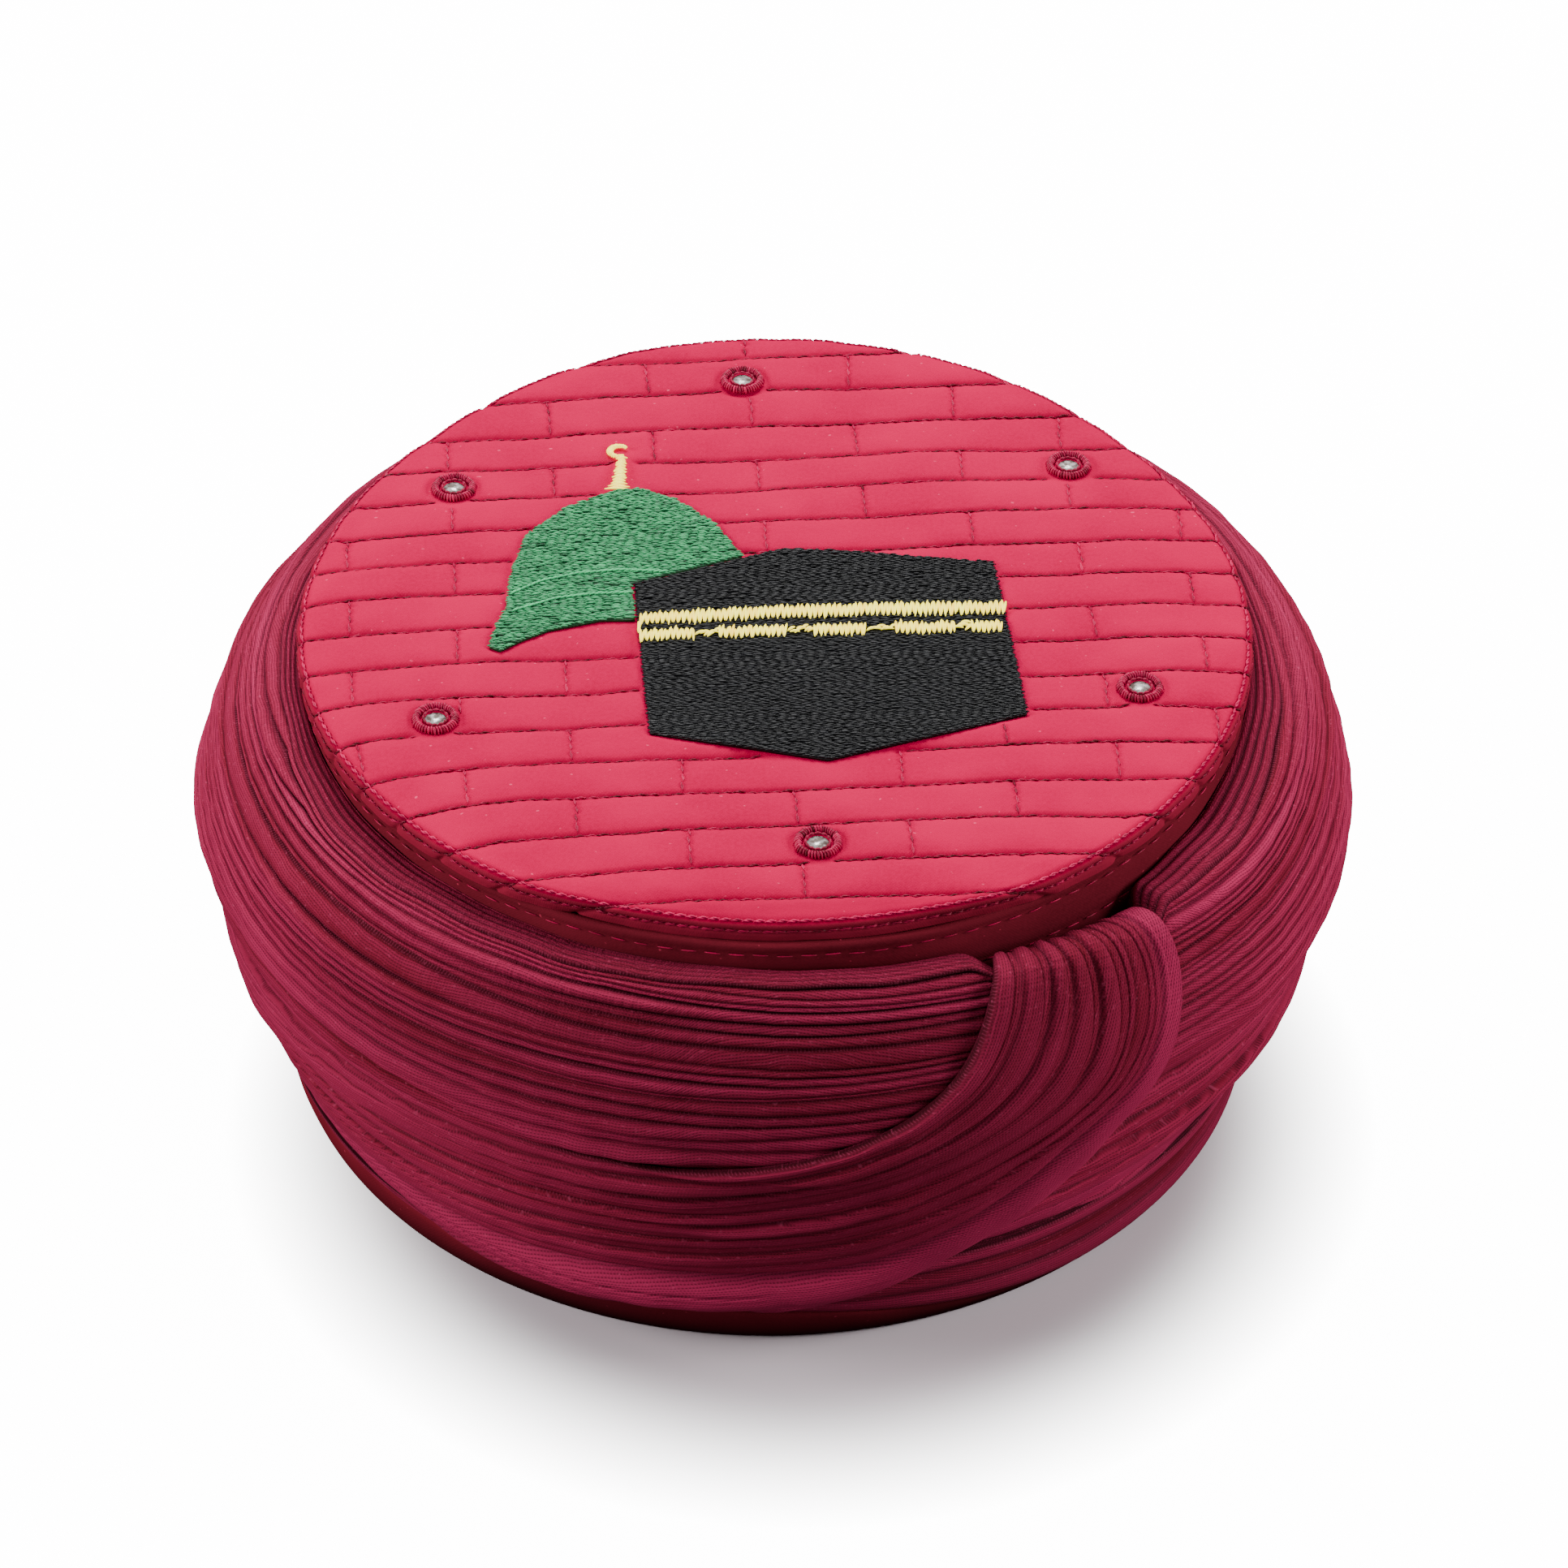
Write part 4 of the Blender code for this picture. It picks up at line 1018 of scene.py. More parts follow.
def make_gold():
    dice = np.random.default_rng(101)
    places, ahead, long = [], [], []

    def lay(x, y, dx, dy, length):
        places.append((x, y, GOLD_LEVEL + dice.uniform(-0.05, 0.08)))
        ahead.append((dx, dy, 0.0))
        long.append(length)

    def band(start, end, top, low):
        for count, x in enumerate(np.arange(start, end, GOLD_PITCH)):
            high = np.interp(x, *zip(*top)) + dice.normal(0, BAND_UNEVEN)
            bottom = np.interp(x, *zip(*low)) + dice.normal(0, BAND_UNEVEN)
            slant = BAND_SLANTS[count % 2] + dice.normal(0, 0.06)
            lay(x, (high + bottom) / 2, slant, high - bottom, high - bottom + 0.2)

    band(*BAND_ENDS, UPPER_BAND_TOP, UPPER_BAND_LOW)
    for start, end in LOWER_BLOCKS:
        band(start, end, LOWER_BAND_TOP, LOWER_BAND_LOW)
    for (_, start), (end, _) in zip(LOWER_BLOCKS, LOWER_BLOCKS[1:]):
        for step in np.linspace(0.12, 0.88, KNOTS):
            x = start + (end - start) * step
            middle = (np.interp(x, *zip(*LOWER_BAND_TOP)) + np.interp(x, *zip(*LOWER_BAND_LOW))) / 2
            lay(x, middle + dice.normal(0.1, 0.45), 1.0, dice.uniform(-0.2, 1.2), KNOT_LENGTH)
    for step in range(SIDE_STITCHES):
        lay(SIDE_AT[0] + 0.1 * (step % 2), SIDE_AT[1] - SIDE_PITCH * step, 0.2, 1.0, SIDE_LENGTH)
    bands = len(places)
    shaft, _ = along_path(SHAFT_LOW + SHAFT_MIDDLE + SHAFT_TOP, GOLD_PITCH)
    for count, (x, y, half) in enumerate(zip(*shaft)):
        lay(x, y, 1.0, FINIAL_SLANTS[count % 2], 2 * half + 0.2)
    turns = np.radians(np.arange(*CRESCENT_ENDS, CRESCENT_STEP))
    for turn in turns:
        share = (turn - turns[0]) / (turns[-1] - turns[0])
        width = CRESCENT_WIDTH * (1 + math.sin(share * math.pi))
        x = CRESCENT_MIDDLE[0] + CRESCENT_RADIUS * math.cos(turn)
        y = CRESCENT_MIDDLE[1] + CRESCENT_RADIUS * math.sin(turn)
        lay(x, y, math.cos(turn + CRESCENT_LEAN), math.sin(turn + CRESCENT_LEAN), width)
    places, ahead, long = np.array(places), np.array(ahead), np.array(long)
    places[bands:, 2] -= FINIAL_SUNK
    tints = np.clip(dice.normal(*GOLD_TINTS, len(places)), 0, 1)
    stitch = stitch_shape("satin_stitch", *SATIN_FORM)
    for name, part, thick, stands_for in (
        ("gold_bands", slice(0, bands), BAND_THREAD, ["gold_band_upper", "gold_band_lower"]),
        ("finial", slice(bands, None), FINIAL_THREAD, ["dome_finial"]),
    ):
        laid = (places[part], ahead[part], UP, long[part])
        mesh = sewn(name, stitch, *laid, thick, GOLD_HIGH, tints[part])
        finished(name, mesh, gold_thread, stands_for)


gold_thread = thread_finish("gold_thread", GOLD_DARK, GOLD_LIGHT, roughness=0.38, specular=0.5)
# the gold thread glows a little though it is no lamp: painted light that makes it brighter
gold_shader = gold_thread.node_tree.nodes["Principled BSDF"]
gold_shader.inputs["Emission Color"].default_value = linear(GOLD_LIGHT)
gold_shader.inputs["Emission Strength"].default_value = GOLD_PAINTED_GLOW
make_gold()

# The mirrors: six small round glasses, each held down by an inner ring of thread and a raised
# outer ring of close satin stitches.
GLASS_RADIUS = 2.0
GLASS_LEVEL = 97.62
INNER_RING = 2.25
OUTER_RING = 3.65
OUTER_RING_WIDTH = 1.7
INNER_STITCHES = 12
OUTER_STITCHES = 44
INNER_LEVEL = 97.85
OUTER_LEVEL = 97.6
INNER_THREAD = (1.5, 0.55, 0.55)
OUTER_THREAD = (0.6, 1.15)
OUTER_SLANT = 0.25
INNER_TINTS = (0.15, 0.5)
OUTER_TINTS = (0.45, 0.18)
OUTER_UNEVEN = (0.06, 0.12)
RING_FORM = (6, 6, 0.45)
GLASS_THICK = 0.5
GLASS_BLOTCHES = 900.0
# grey blotches, and a near-white colour that paints the glass's reflection
GLASS_GREY = (140, 130, 122)
GLASS_PAINTED_REFLECTION = (246, 244, 240)


def silvered_glass():
    finish, tree, shader = new_finish("mirror_glass", roughness=0.3, specular=0.5, metallic=0.4)
    blotches = noise(tree, own_place(tree), GLASS_BLOTCHES, 3.0)[0]
    # the reflection is partly real, from the glass's gloss, and partly painted into its pale colour
    painted_light_share = spread(tree, blotches, 0.4, 0.62)
    tree.links.new(mix_colour(tree, painted_light_share, GLASS_GREY, GLASS_PAINTED_REFLECTION), shader.inputs["Base Color"])
    bumped(tree, shader, blotches, strength=0.7, distance=0.25)
    return finish


def make_mirrors():
    shape = bmesh.new()
    dice = np.random.default_rng(111)
    places, ahead, sizes, tints = [], [], [], []

    def lay(middle, reach, turn, lean, size, tint):
        x, y, level = middle
        places.append((x + reach * math.cos(turn), y + reach * math.sin(turn), level))
        ahead.append((math.cos(turn + lean), math.sin(turn + lean), 0.0))
        sizes.append(size)
        tints.append(tint)

    for x, y in MIRRORS:
        radius = GLASS_RADIUS * MM
        made = bmesh.ops.create_cone(
            shape, cap_ends=True, segments=32, radius1=radius, radius2=radius, depth=GLASS_THICK * MM
        )
        lift = back_lift(y)
        middle = (x * MM, y * MM, (GLASS_LEVEL - GLASS_THICK / 2 + lift) * MM)
        bmesh.ops.translate(shape, verts=made["verts"], vec=middle)
        for turn in np.arange(INNER_STITCHES) * math.tau / INNER_STITCHES:
            tint = dice.uniform(*INNER_TINTS)
            lay((x, y, INNER_LEVEL + lift), INNER_RING, turn, math.pi / 2, INNER_THREAD, tint)
        for turn in np.arange(OUTER_STITCHES) * math.tau / OUTER_STITCHES:
            reach = OUTER_RING + dice.normal(0, OUTER_UNEVEN[0])
            size = (OUTER_RING_WIDTH + dice.normal(0, OUTER_UNEVEN[1]), *OUTER_THREAD)
            tint = np.clip(dice.normal(*OUTER_TINTS), 0, 1)
            lay((x, y, OUTER_LEVEL + lift), reach, turn, OUTER_SLANT, size, tint)
    counts = range(1, len(MIRRORS) + 1)
    glasses = [f"mirror_{count}" for count in counts]
    finished("mirrors", as_mesh(shape, "mirrors"), silvered_glass(), glasses)
    stitch = stitch_shape("ring_stitch", *RING_FORM)
    places, ahead, tints = np.array(places), np.array(ahead), np.array(tints)
    mesh = sewn("mirror_rings", stitch, places, ahead, UP, *np.array(sizes).T, tints)
    rings = [f"mirror_ring_{count}" for count in counts]
    finished("mirror_rings", mesh, crimson_thread, rings)


make_mirrors()

# The wound cloth: a very long, thin, open-woven cloth, gathered into pleats and wound tightly
# round the wall, turn upon turn, until it stands out as a thick roll. Its folds lie like
# shingles, with finer lines along them, and run into each other on their way round.
# heights and radii of the winding's outside
PROFILE_LOW = [(8.0, 97.0), (20.0, 100.6), (34.5, 106.3), (49.0, 109.4), (63.5, 111.3)]
WINDING_PROFILE = PROFILE_LOW + [(76.0, 107.4), (84.0, 102.7), (88.5, 98.9), (91.5, 93.6)]
# low down the winding is shifted to its left, where it also bulges a little
LEFT_BULGE = 0.2
LEFTWARD = 1.5
LEFT_FROM_FRONT = 12
LEFT_BULGE_TOP = 46.0
LEFT_BULGE_FADE = 36
# azimuth, height of the upper edge, its distance from the cap, depth of the valley behind it
WINDING_EDGE = [
    (-180, 91.6, 0.3, 0.7),
    (-110, 91.4, 0.3, 0.7),
    (-80, 90.8, 0.3, 0.7),
    (-45, 89.1, 0.3, 0.7),
    (-10, 89.0, 0.35, 0.9),
    (12, 88.7, 0.6, 1.6),
    (21, 88.6, 1.0, 2.4),
    (27, 84.2, 5.8, 20.0),
    (42, 82.8, 5.8, 20.0),
    (46.5, 86.6, 0.8, 2.0),
    (56, 87.2, 0.4, 1.0),
    (76, 89.2, 0.3, 0.7),
    (100, 91.2, 0.3, 0.7),
    (180, 91.6, 0.3, 0.7),
]
# azimuth, how deep the last turn lies in the winding, from what height, extra pressing in
SUNK_BAND = [
    (-180, 3.8, 9.6, 0.0),
    (-60, 3.8, 9.6, 0.0),
    (-8, 1.4, 12.0, 1.6),
    (6, 1.4, 17.0, 1.8),
    (16, 2.4, 19.0, 1.8),
    (36, 3.2, 18.0, 1.6),
    (60, 3.8, 16.5, 0.0),
    (110, 3.8, 9.6, 0.0),
    (180, 3.8, 9.6, 0.0),
]
SUNK_SLOPE = 1.2
PRESSED_FROM = 40.0
FOLD_LEVEL = 55.8
# heights of the lines between the upper folds at six azimuths, and each fold's crest height
FOLD_AZIMUTHS = (-75, -45, -15, 15, 60, 105)
UPPER_FOLDS = [
    (89.3, 89.3, 89.4, 88.0, 84.7, 89.4, 0.20),
    (88.0, 88.6, 88.2, 86.4, 83.6, 87.9, 0.45),
    (86.9, 86.8, 86.6, 85.0, 82.1, 86.0, 0.20),
    (85.4, 85.1, 84.9, 83.2, 80.8, 84.3, 0.60),
    (83.8, 82.9, 83.0, 81.6, 79.5, 82.6, 0.25),
    (82.4, 82.2, 81.5, 79.9, 78.2, 80.8, 0.45),
    (77.9, 76.6, 77.2, 76.4, 76.8, 78.8, 0.20),
    (76.6, 75.4, 75.7, 75.0, 75.2, 76.9, 0.70),
    (74.4, 73.4, 74.7, 74.0, 73.7, 75.0, 0.25),
    (72.7, 72.0, 72.4, 72.6, 72.3, 72.8, 0.45),
    (71.2, 70.8, 71.1, 71.6, 70.4, 70.8, 0.35),
    (70.1, 68.6, 69.5, 69.8, 68.6, 68.5, 0.30),
    (68.0, 66.3, 66.4, 67.1, 66.8, 66.0, 0.35),
    (65.4, 63.7, 63.0, 64.1, 64.4, 63.4, 0.50),
    (61.9, 60.7, 60.8, 61.6, 61.4, 60.9, 0.55),
    (59.0, 58.6, 57.4, 58.8, 58.5, 58.2, 0.60),
]
LAST_FOLD_CREST = 0.45
LEAST_FOLD = 0.6
LINE_WANDER = 0.7
# the few flat folds below the last turn: their shares of the height, and crest heights
LOWER_FOLDS = [(0.27, 0.12), (0.40, 0.22), (0.33, 0.15)]
FOLD_GROOVE = 0.6
FOLD_GROOVE_MOST = 1.7
FOLD_CREST = 3.2
FOLD_SINK = 0.7
LINE_WIDTH = 1.2
FINE_PITCH = 1.5
FINE_SHARE = 0.5
FINE_FLAT = 0.1
FINE_DEPTH = 0.6
# rows out of a groove: how many lips on, share of its depth, painted tone, and how much more painted
# shade if drawn
GROOVE_FORM = ((0, 1.0, 0.2, 1.2), (1, 0.65, 0.2, 1.1), (2, 0.15, 0.3, 0.7))
# rows along a fine line: the share of the way to the next one, and of the line's depth
FINE_FORM = ((0.0, 1.0), (0.28, 0.12), (0.62, 0.0), (0.86, 0.3))
# where across a fold its crest lies, and where its painted light is brightest
CREST_AT = 0.7
LIT_AT = 0.5
# how often a fold swells round the cap, and how fast
SWELLS = (1, 2, 3, 5, 8)
SWELL_SLOPE = 1.8
WINDING_STEPS = 430
WINDING_MEAN = 108
EDGE_WANDER = 0.3
EDGE_COUNTS = (9, 14, 23, 31)
# the folds under the last turn's beginning are flatter, between these azimuths
UNDER_TURN = (-14, 54)
UNDER_FLATTER = 0.6
CREASE = 0.12
CREASE_LENGTH = 12
# where the lines between the folds lie at the back is made up, at this azimuth
BEHIND_AZIMUTH = 195
WRAP_COLOUR = (174, 42, 84)
WRAP_SHADE = (108, 17, 32)
WRAP_DEEP = (36, 3, 8)
WRAP_GLINT = (208, 80, 120)
WRAP_SHEEN = (255, 70, 130)
RIB_PITCH = 0.58
CROSS_PITCH = 0.66
DRIFT = 1.2
DRIFT_SCALE = 140.0
# noise as for the cotton, the first two with their grains through the cloth as well
STREAKS = (18.0, 1100.0, 3.0, 0.3, 0.7, 18.0)
WRAP_CLOUDS = (25.0, 50.0, 3.0, 0.35, 0.65, 25.0)
GLINTS = (900.0, 1600.0, 1.0, 0.62, 0.8)
CRINKLES = (900.0, 330.0, 2.0, 0.3, 0.7)
# what the tint, the clouds, the streaks and the crests' painted highlight add to the colour
TINT_SHARE = 0.45
CLOUD_SHARE = 0.2
STREAK_SHARE = 0.25
CREST_HIGHLIGHT_SHARE = 0.2
GROOVE_SHADE_SHARE = 0.9
GAP_SHARE = 0.6
LINE_GLINT_SHARE = 0.2
GLINT_SHARE = 0.3
# painted shade towards the foot, from nothing to most, in metres
FOOT_SHADE_HEIGHT = (0.026, 0.006)
FOOT_SHADE_SHARE = 0.4
# painted shade, darker high up in front, in metres
HIGH_FRONT_SHADE_Y = (-0.06, -0.1)
HIGH_FRONT_SHADE_HEIGHT = (0.035, 0.07)
HIGH_FRONT_SHADE_SHARE = 0.28
# crinkled near the upper edge, in metres
CRINKLED_HEIGHT = (0.072, 0.088)
LIP_FOLDS = 4
LIP_GROOVE = 0.5
LIP_SAG = 0.8
LIP_TINT = 0.5
# rows of a fold on the upper edge: the share of the way to the next one, painted tone and level
LIP_FORM = ((0.0, -0.8, -0.8), (0.3, 0.1, 0.1), (0.65, 0.3, 0.5), (0.92, 0.1, 0.2))


def smooth_read(table, column, x):
    """A smooth curve through a table's first column and another one, read at many places."""
    values = np.array(table, float)
    xs = values[:, 0]
    ys = values[:, column]
    slopes = np.gradient(ys, xs)
    x = np.clip(x, xs[0], xs[-1])
    i = np.clip(np.searchsorted(xs, x, side="right") - 1, 0, len(xs) - 2)
    span = xs[i + 1] - xs[i]
    t = (x - xs[i]) / span
    start = (1 + 2 * t) * (1 - t) ** 2 * ys[i] + t * (1 - t) ** 2 * span * slopes[i]
    return start + t * t * (3 - 2 * t) * ys[i + 1] + t * t * (t - 1) * span * slopes[i + 1]


def winding_radius(azimuth, height):
    pressed = eased_read(SUNK_BAND, 3, azimuth) * eased(height / PRESSED_FROM)
    leftness = -np.sin(np.radians(azimuth + LEFT_FROM_FRONT))
    bulge = LEFT_BULGE * np.maximum(leftness, 0) ** 1.5 + LEFTWARD * leftness
    bulge = bulge * eased((LEFT_BULGE_TOP - height) / LEFT_BULGE_FADE)
    return smooth_read(WINDING_PROFILE, 1, height) - pressed + bulge


def sunk_depth(azimuth, height):
    rise = eased((height - eased_read(SUNK_BAND, 2, azimuth)) / SUNK_SLOPE)
    fall = eased((FOLD_LEVEL - height) / SUNK_SLOPE)
    return eased_read(SUNK_BAND, 1, azimuth) * np.minimum(rise, fall)


def outward(azimuth, height, moved):
    """Moves a point of the winding's outside along its normal: its new radius and height."""
    slope = winding_radius(azimuth, height + 1) - winding_radius(azimuth, height - 1)
    length = np.hypot(2.0, slope)
    radius = winding_radius(azimuth, height) + moved * 2.0 / length
    return radius, height - moved * slope / length


def swelling(turn, dice, low=0.0):
    """A smooth share between low and 1 that comes and goes along the cloth."""
    total = np.zeros_like(turn)
    for count in SWELLS:
        total = total + dice.normal() / count**0.3 * np.sin(count * turn + dice.uniform(0, 6.3))
    return low + (1 - low) / (1 + np.exp(-SWELL_SLOPE * total))


def wandering(turn, dice, counts=(2, 3, 5, 7)):
    """Smooth uneven movement to either side, mostly between -1 and 1."""
    total = np.zeros_like(turn)
    for count in counts:
        total = total + dice.normal() / count**0.5 * np.sin(count * turn + dice.uniform(0, 6.3))
    return total / 1.3


def humped(at, crest, fall):
    """A hump from 0 up to 1 at the crest, and down by the fall to its far side."""
    if at < crest:
        return 1 - (1 - at / crest) ** 2
    return 1 - fall * ((at - crest) / (1 - crest)) ** 2


def fold_rows(lines, crests, scale, turn, seed, tinted=None):
    """Rows across a set of folds: each row's place, offset, tint and rise, by column. The rise sets
    the rows' painted light and shade.

    The lines part the folds, by column, and scale is the millimetres to one unit of theirs.
    """
    dice = np.random.default_rng(seed)
    rows = []
    for i, crest in enumerate(crests):
        start, span = lines[i], lines[i + 1] - lines[i]
        width = np.abs(span) * scale
        fine = max(1, round(float(np.median(width)) / FINE_PITCH))
        bounds = np.concatenate([[0.0], np.cumsum(dice.uniform(0.6, 1.5, fine))])
        bounds = bounds / bounds[-1]
        tint = tinted[i] if tinted else dice.uniform(0, 1)
        drawn = swelling(turn, dice, 0.25)
        groove = np.minimum(FOLD_GROOVE * width, FOLD_GROOVE_MOST) * drawn
        swell = 0.45 + 0.9 * swelling(turn, dice)
        height = FOLD_CREST * crest * np.minimum(width / 3.0, 1.0) * swell
        lip = np.minimum(LINE_WIDTH * dice.uniform(0.3, 1.0) / width, 0.1) * span
        for lips, deep, tone, darker in GROOVE_FORM:
            rows.append((start + lips * lip, -deep * groove, tint, tone - darker * drawn))
        for line in range(fine):
            depth = FINE_DEPTH * (0.06 + dice.uniform(0, 1) ** 2) * swelling(turn, dice, 0.05)
            depth = depth * (1.0 if dice.uniform() < FINE_SHARE else FINE_FLAT)
            depth = depth * np.minimum(width / fine, 1.0)
            for part, dip in FINE_FORM:
                if line == 0 and part == 0:
                    continue
                at = bounds[line] + (bounds[line + 1] - bounds[line]) * part
                at = 0.2 + 0.8 * at
                bulge = humped(at, CREST_AT, 0.5)
                rise = humped(at, LIT_AT, 1.1) - 0.9 * dip * depth / FINE_DEPTH
                rows.append((start + at * span, height * bulge - depth * dip, tint, rise))
        rows.append((start + 0.995 * span, 0.35 * height, tint, 0.2 - 0.7 * drawn))
        rows.append((start + 0.985 * span, -0.75 * groove, tint, 0.2 - 1.2 * drawn))
    return rows


def section_length(radius, height):
    """How far each row is from the first, round the section."""
    steps = np.hypot(np.diff(radius, axis=1), np.diff(height, axis=1))
    return np.concatenate([np.zeros((len(radius), 1)), np.cumsum(steps, axis=1)], axis=1)


def round_places(azimuth, radius, height):
    turn = np.radians(azimuth)
    return np.stack([radius * np.sin(turn), -radius * np.cos(turn), height], axis=-1)


def crinkled_gauze():
    """Thin open weave of ribbed threads, with painted shade in its folds and painted highlights on
    their crests.
    """
    finish, tree, shader = new_finish(
        "winding_gauze", roughness=0.8, specular=0.06, sheen=0.12, sheen_tint=WRAP_SHEEN
    )
    cloth = add_node(tree, "ShaderNodeUVMap", uv_map="cloth").outputs[0]
    tint, rise = carried(tree, "tint"), carried(tree, "rise")
    x, y, level = split(tree, own_place(tree))
    above = split(tree, cloth)[1]
    ring = add_node(tree, "ShaderNodeCombineXYZ", {0: x, 1: above, 2: y}).outputs[0]
    moved = {0: noise(tree, cloth, DRIFT_SCALE, 2.0)[1], 1: [DRIFT * MM] * 3}
    bent = add_node(tree, "ShaderNodeVectorMath", moved, operation="MULTIPLY").outputs[0]
    bent = add_node(tree, "ShaderNodeVectorMath", {0: cloth, 1: bent}, operation="ADD").outputs[0]
    parts = split(tree, bent)
    ribs = calculate(tree, "SINE", times(tree, parts[1], math.tau / (RIB_PITCH * MM)))
    cross = calculate(tree, "SINE", times(tree, parts[0], math.tau / (CROSS_PITCH * MM)))
    weave = plus(tree, ribs, times(tree, times(tree, ribs, cross), 0.8))
    streaks = stretched_noise(tree, ring, *STREAKS)
    clouds = stretched_noise(tree, ring, *WRAP_CLOUDS)
    glints = stretched_noise(tree, cloth, *GLINTS)
    crinkles = stretched_noise(tree, cloth, *CRINKLES)

    mixed = plus(tree, times(tree, tint, TINT_SHARE), times(tree, clouds, CLOUD_SHARE))
    mixed = plus(tree, mixed, times(tree, streaks, STREAK_SHARE))
    # a painted highlight on the folds' crests
    mixed = plus(tree, mixed, times(tree, spread(tree, rise, 0.4, 1.0), CREST_HIGHLIGHT_SHARE))
    tree.links.new(mix_colour(tree, mixed, WRAP_SHADE, WRAP_COLOUR), shader.inputs["Base Color"])
    off_line = calculate(tree, "ABSOLUTE", plus(tree, rise, 0.3))
    # painted glints: dots along the fine lines
    line_glints = times(tree, spread(tree, off_line, 0.5, 0.1), spread(tree, cross, 0.1, 0.8))
    # painted shade towards the foot
    foot_shade = spread(tree, level, *FOOT_SHADE_HEIGHT)
    # painted shade high up in front
    painted_light_share = times(tree, spread(tree, y, *HIGH_FRONT_SHADE_Y), spread(tree, level, *HIGH_FRONT_SHADE_HEIGHT))
    # painted shade in the grooves and under the folds, the dark gaps of the weave, painted glints,
    # then painted shade towards the foot and high up in front
    laid_over(finish, spread(tree, rise, 0.55, -0.7), WRAP_DEEP, GROOVE_SHADE_SHARE)
    laid_over(finish, spread(tree, weave, 0.3, -1.4), WRAP_DEEP, GAP_SHARE)
    laid_over(finish, line_glints, WRAP_GLINT, LINE_GLINT_SHARE)
    # painted glints: specks over the weave
    laid_over(finish, glints, WRAP_GLINT, GLINT_SHARE)
    laid_over(finish, foot_shade, WRAP_DEEP, FOOT_SHADE_SHARE)
    laid_over(finish, painted_light_share, WRAP_DEEP, HIGH_FRONT_SHADE_SHARE)

    crinkles = times(tree, crinkles, spread(tree, level, *CRINKLED_HEIGHT))
    ridges = plus(tree, times(tree, streaks, 1.2), times(tree, crinkles, 1.6))
    height = plus(tree, times(tree, weave, 0.25), ridges)
    bumped(tree, shader, height, strength=0.6, distance=0.16)
    return finish


def upper_lines(azimuth, turn, edge):
    """The lines between the upper folds by azimuth, from the edge down to the last turn."""
    dice = np.random.default_rng(21)
    lines = [edge]
    behind = (azimuth + 360) % 360
    for row in UPPER_FOLDS:
        ring = [(at % 360, height) for at, height in zip(FOLD_AZIMUTHS, row)]
        ring.append((BEHIND_AZIMUTH, (row[0] + row[5]) / 2 + dice.normal(0, LINE_WANDER)))
        ring.sort()
        ring = [(ring[-1][0] - 360, ring[-1][1])] + ring + [(ring[0][0] + 360, ring[0][1])]
        level = smooth_read(ring, 1, behind) + LINE_WANDER * wandering(turn, dice)
        lines.append(np.minimum(level, lines[-1] - LEAST_FOLD))
    lines.append(FOLD_LEVEL - 1.0 + 0 * azimuth)
    for i in range(len(lines) - 2, 0, -1):
        lines[i] = np.maximum(lines[i], lines[i + 1] + 0.7 * LEAST_FOLD)
    return lines


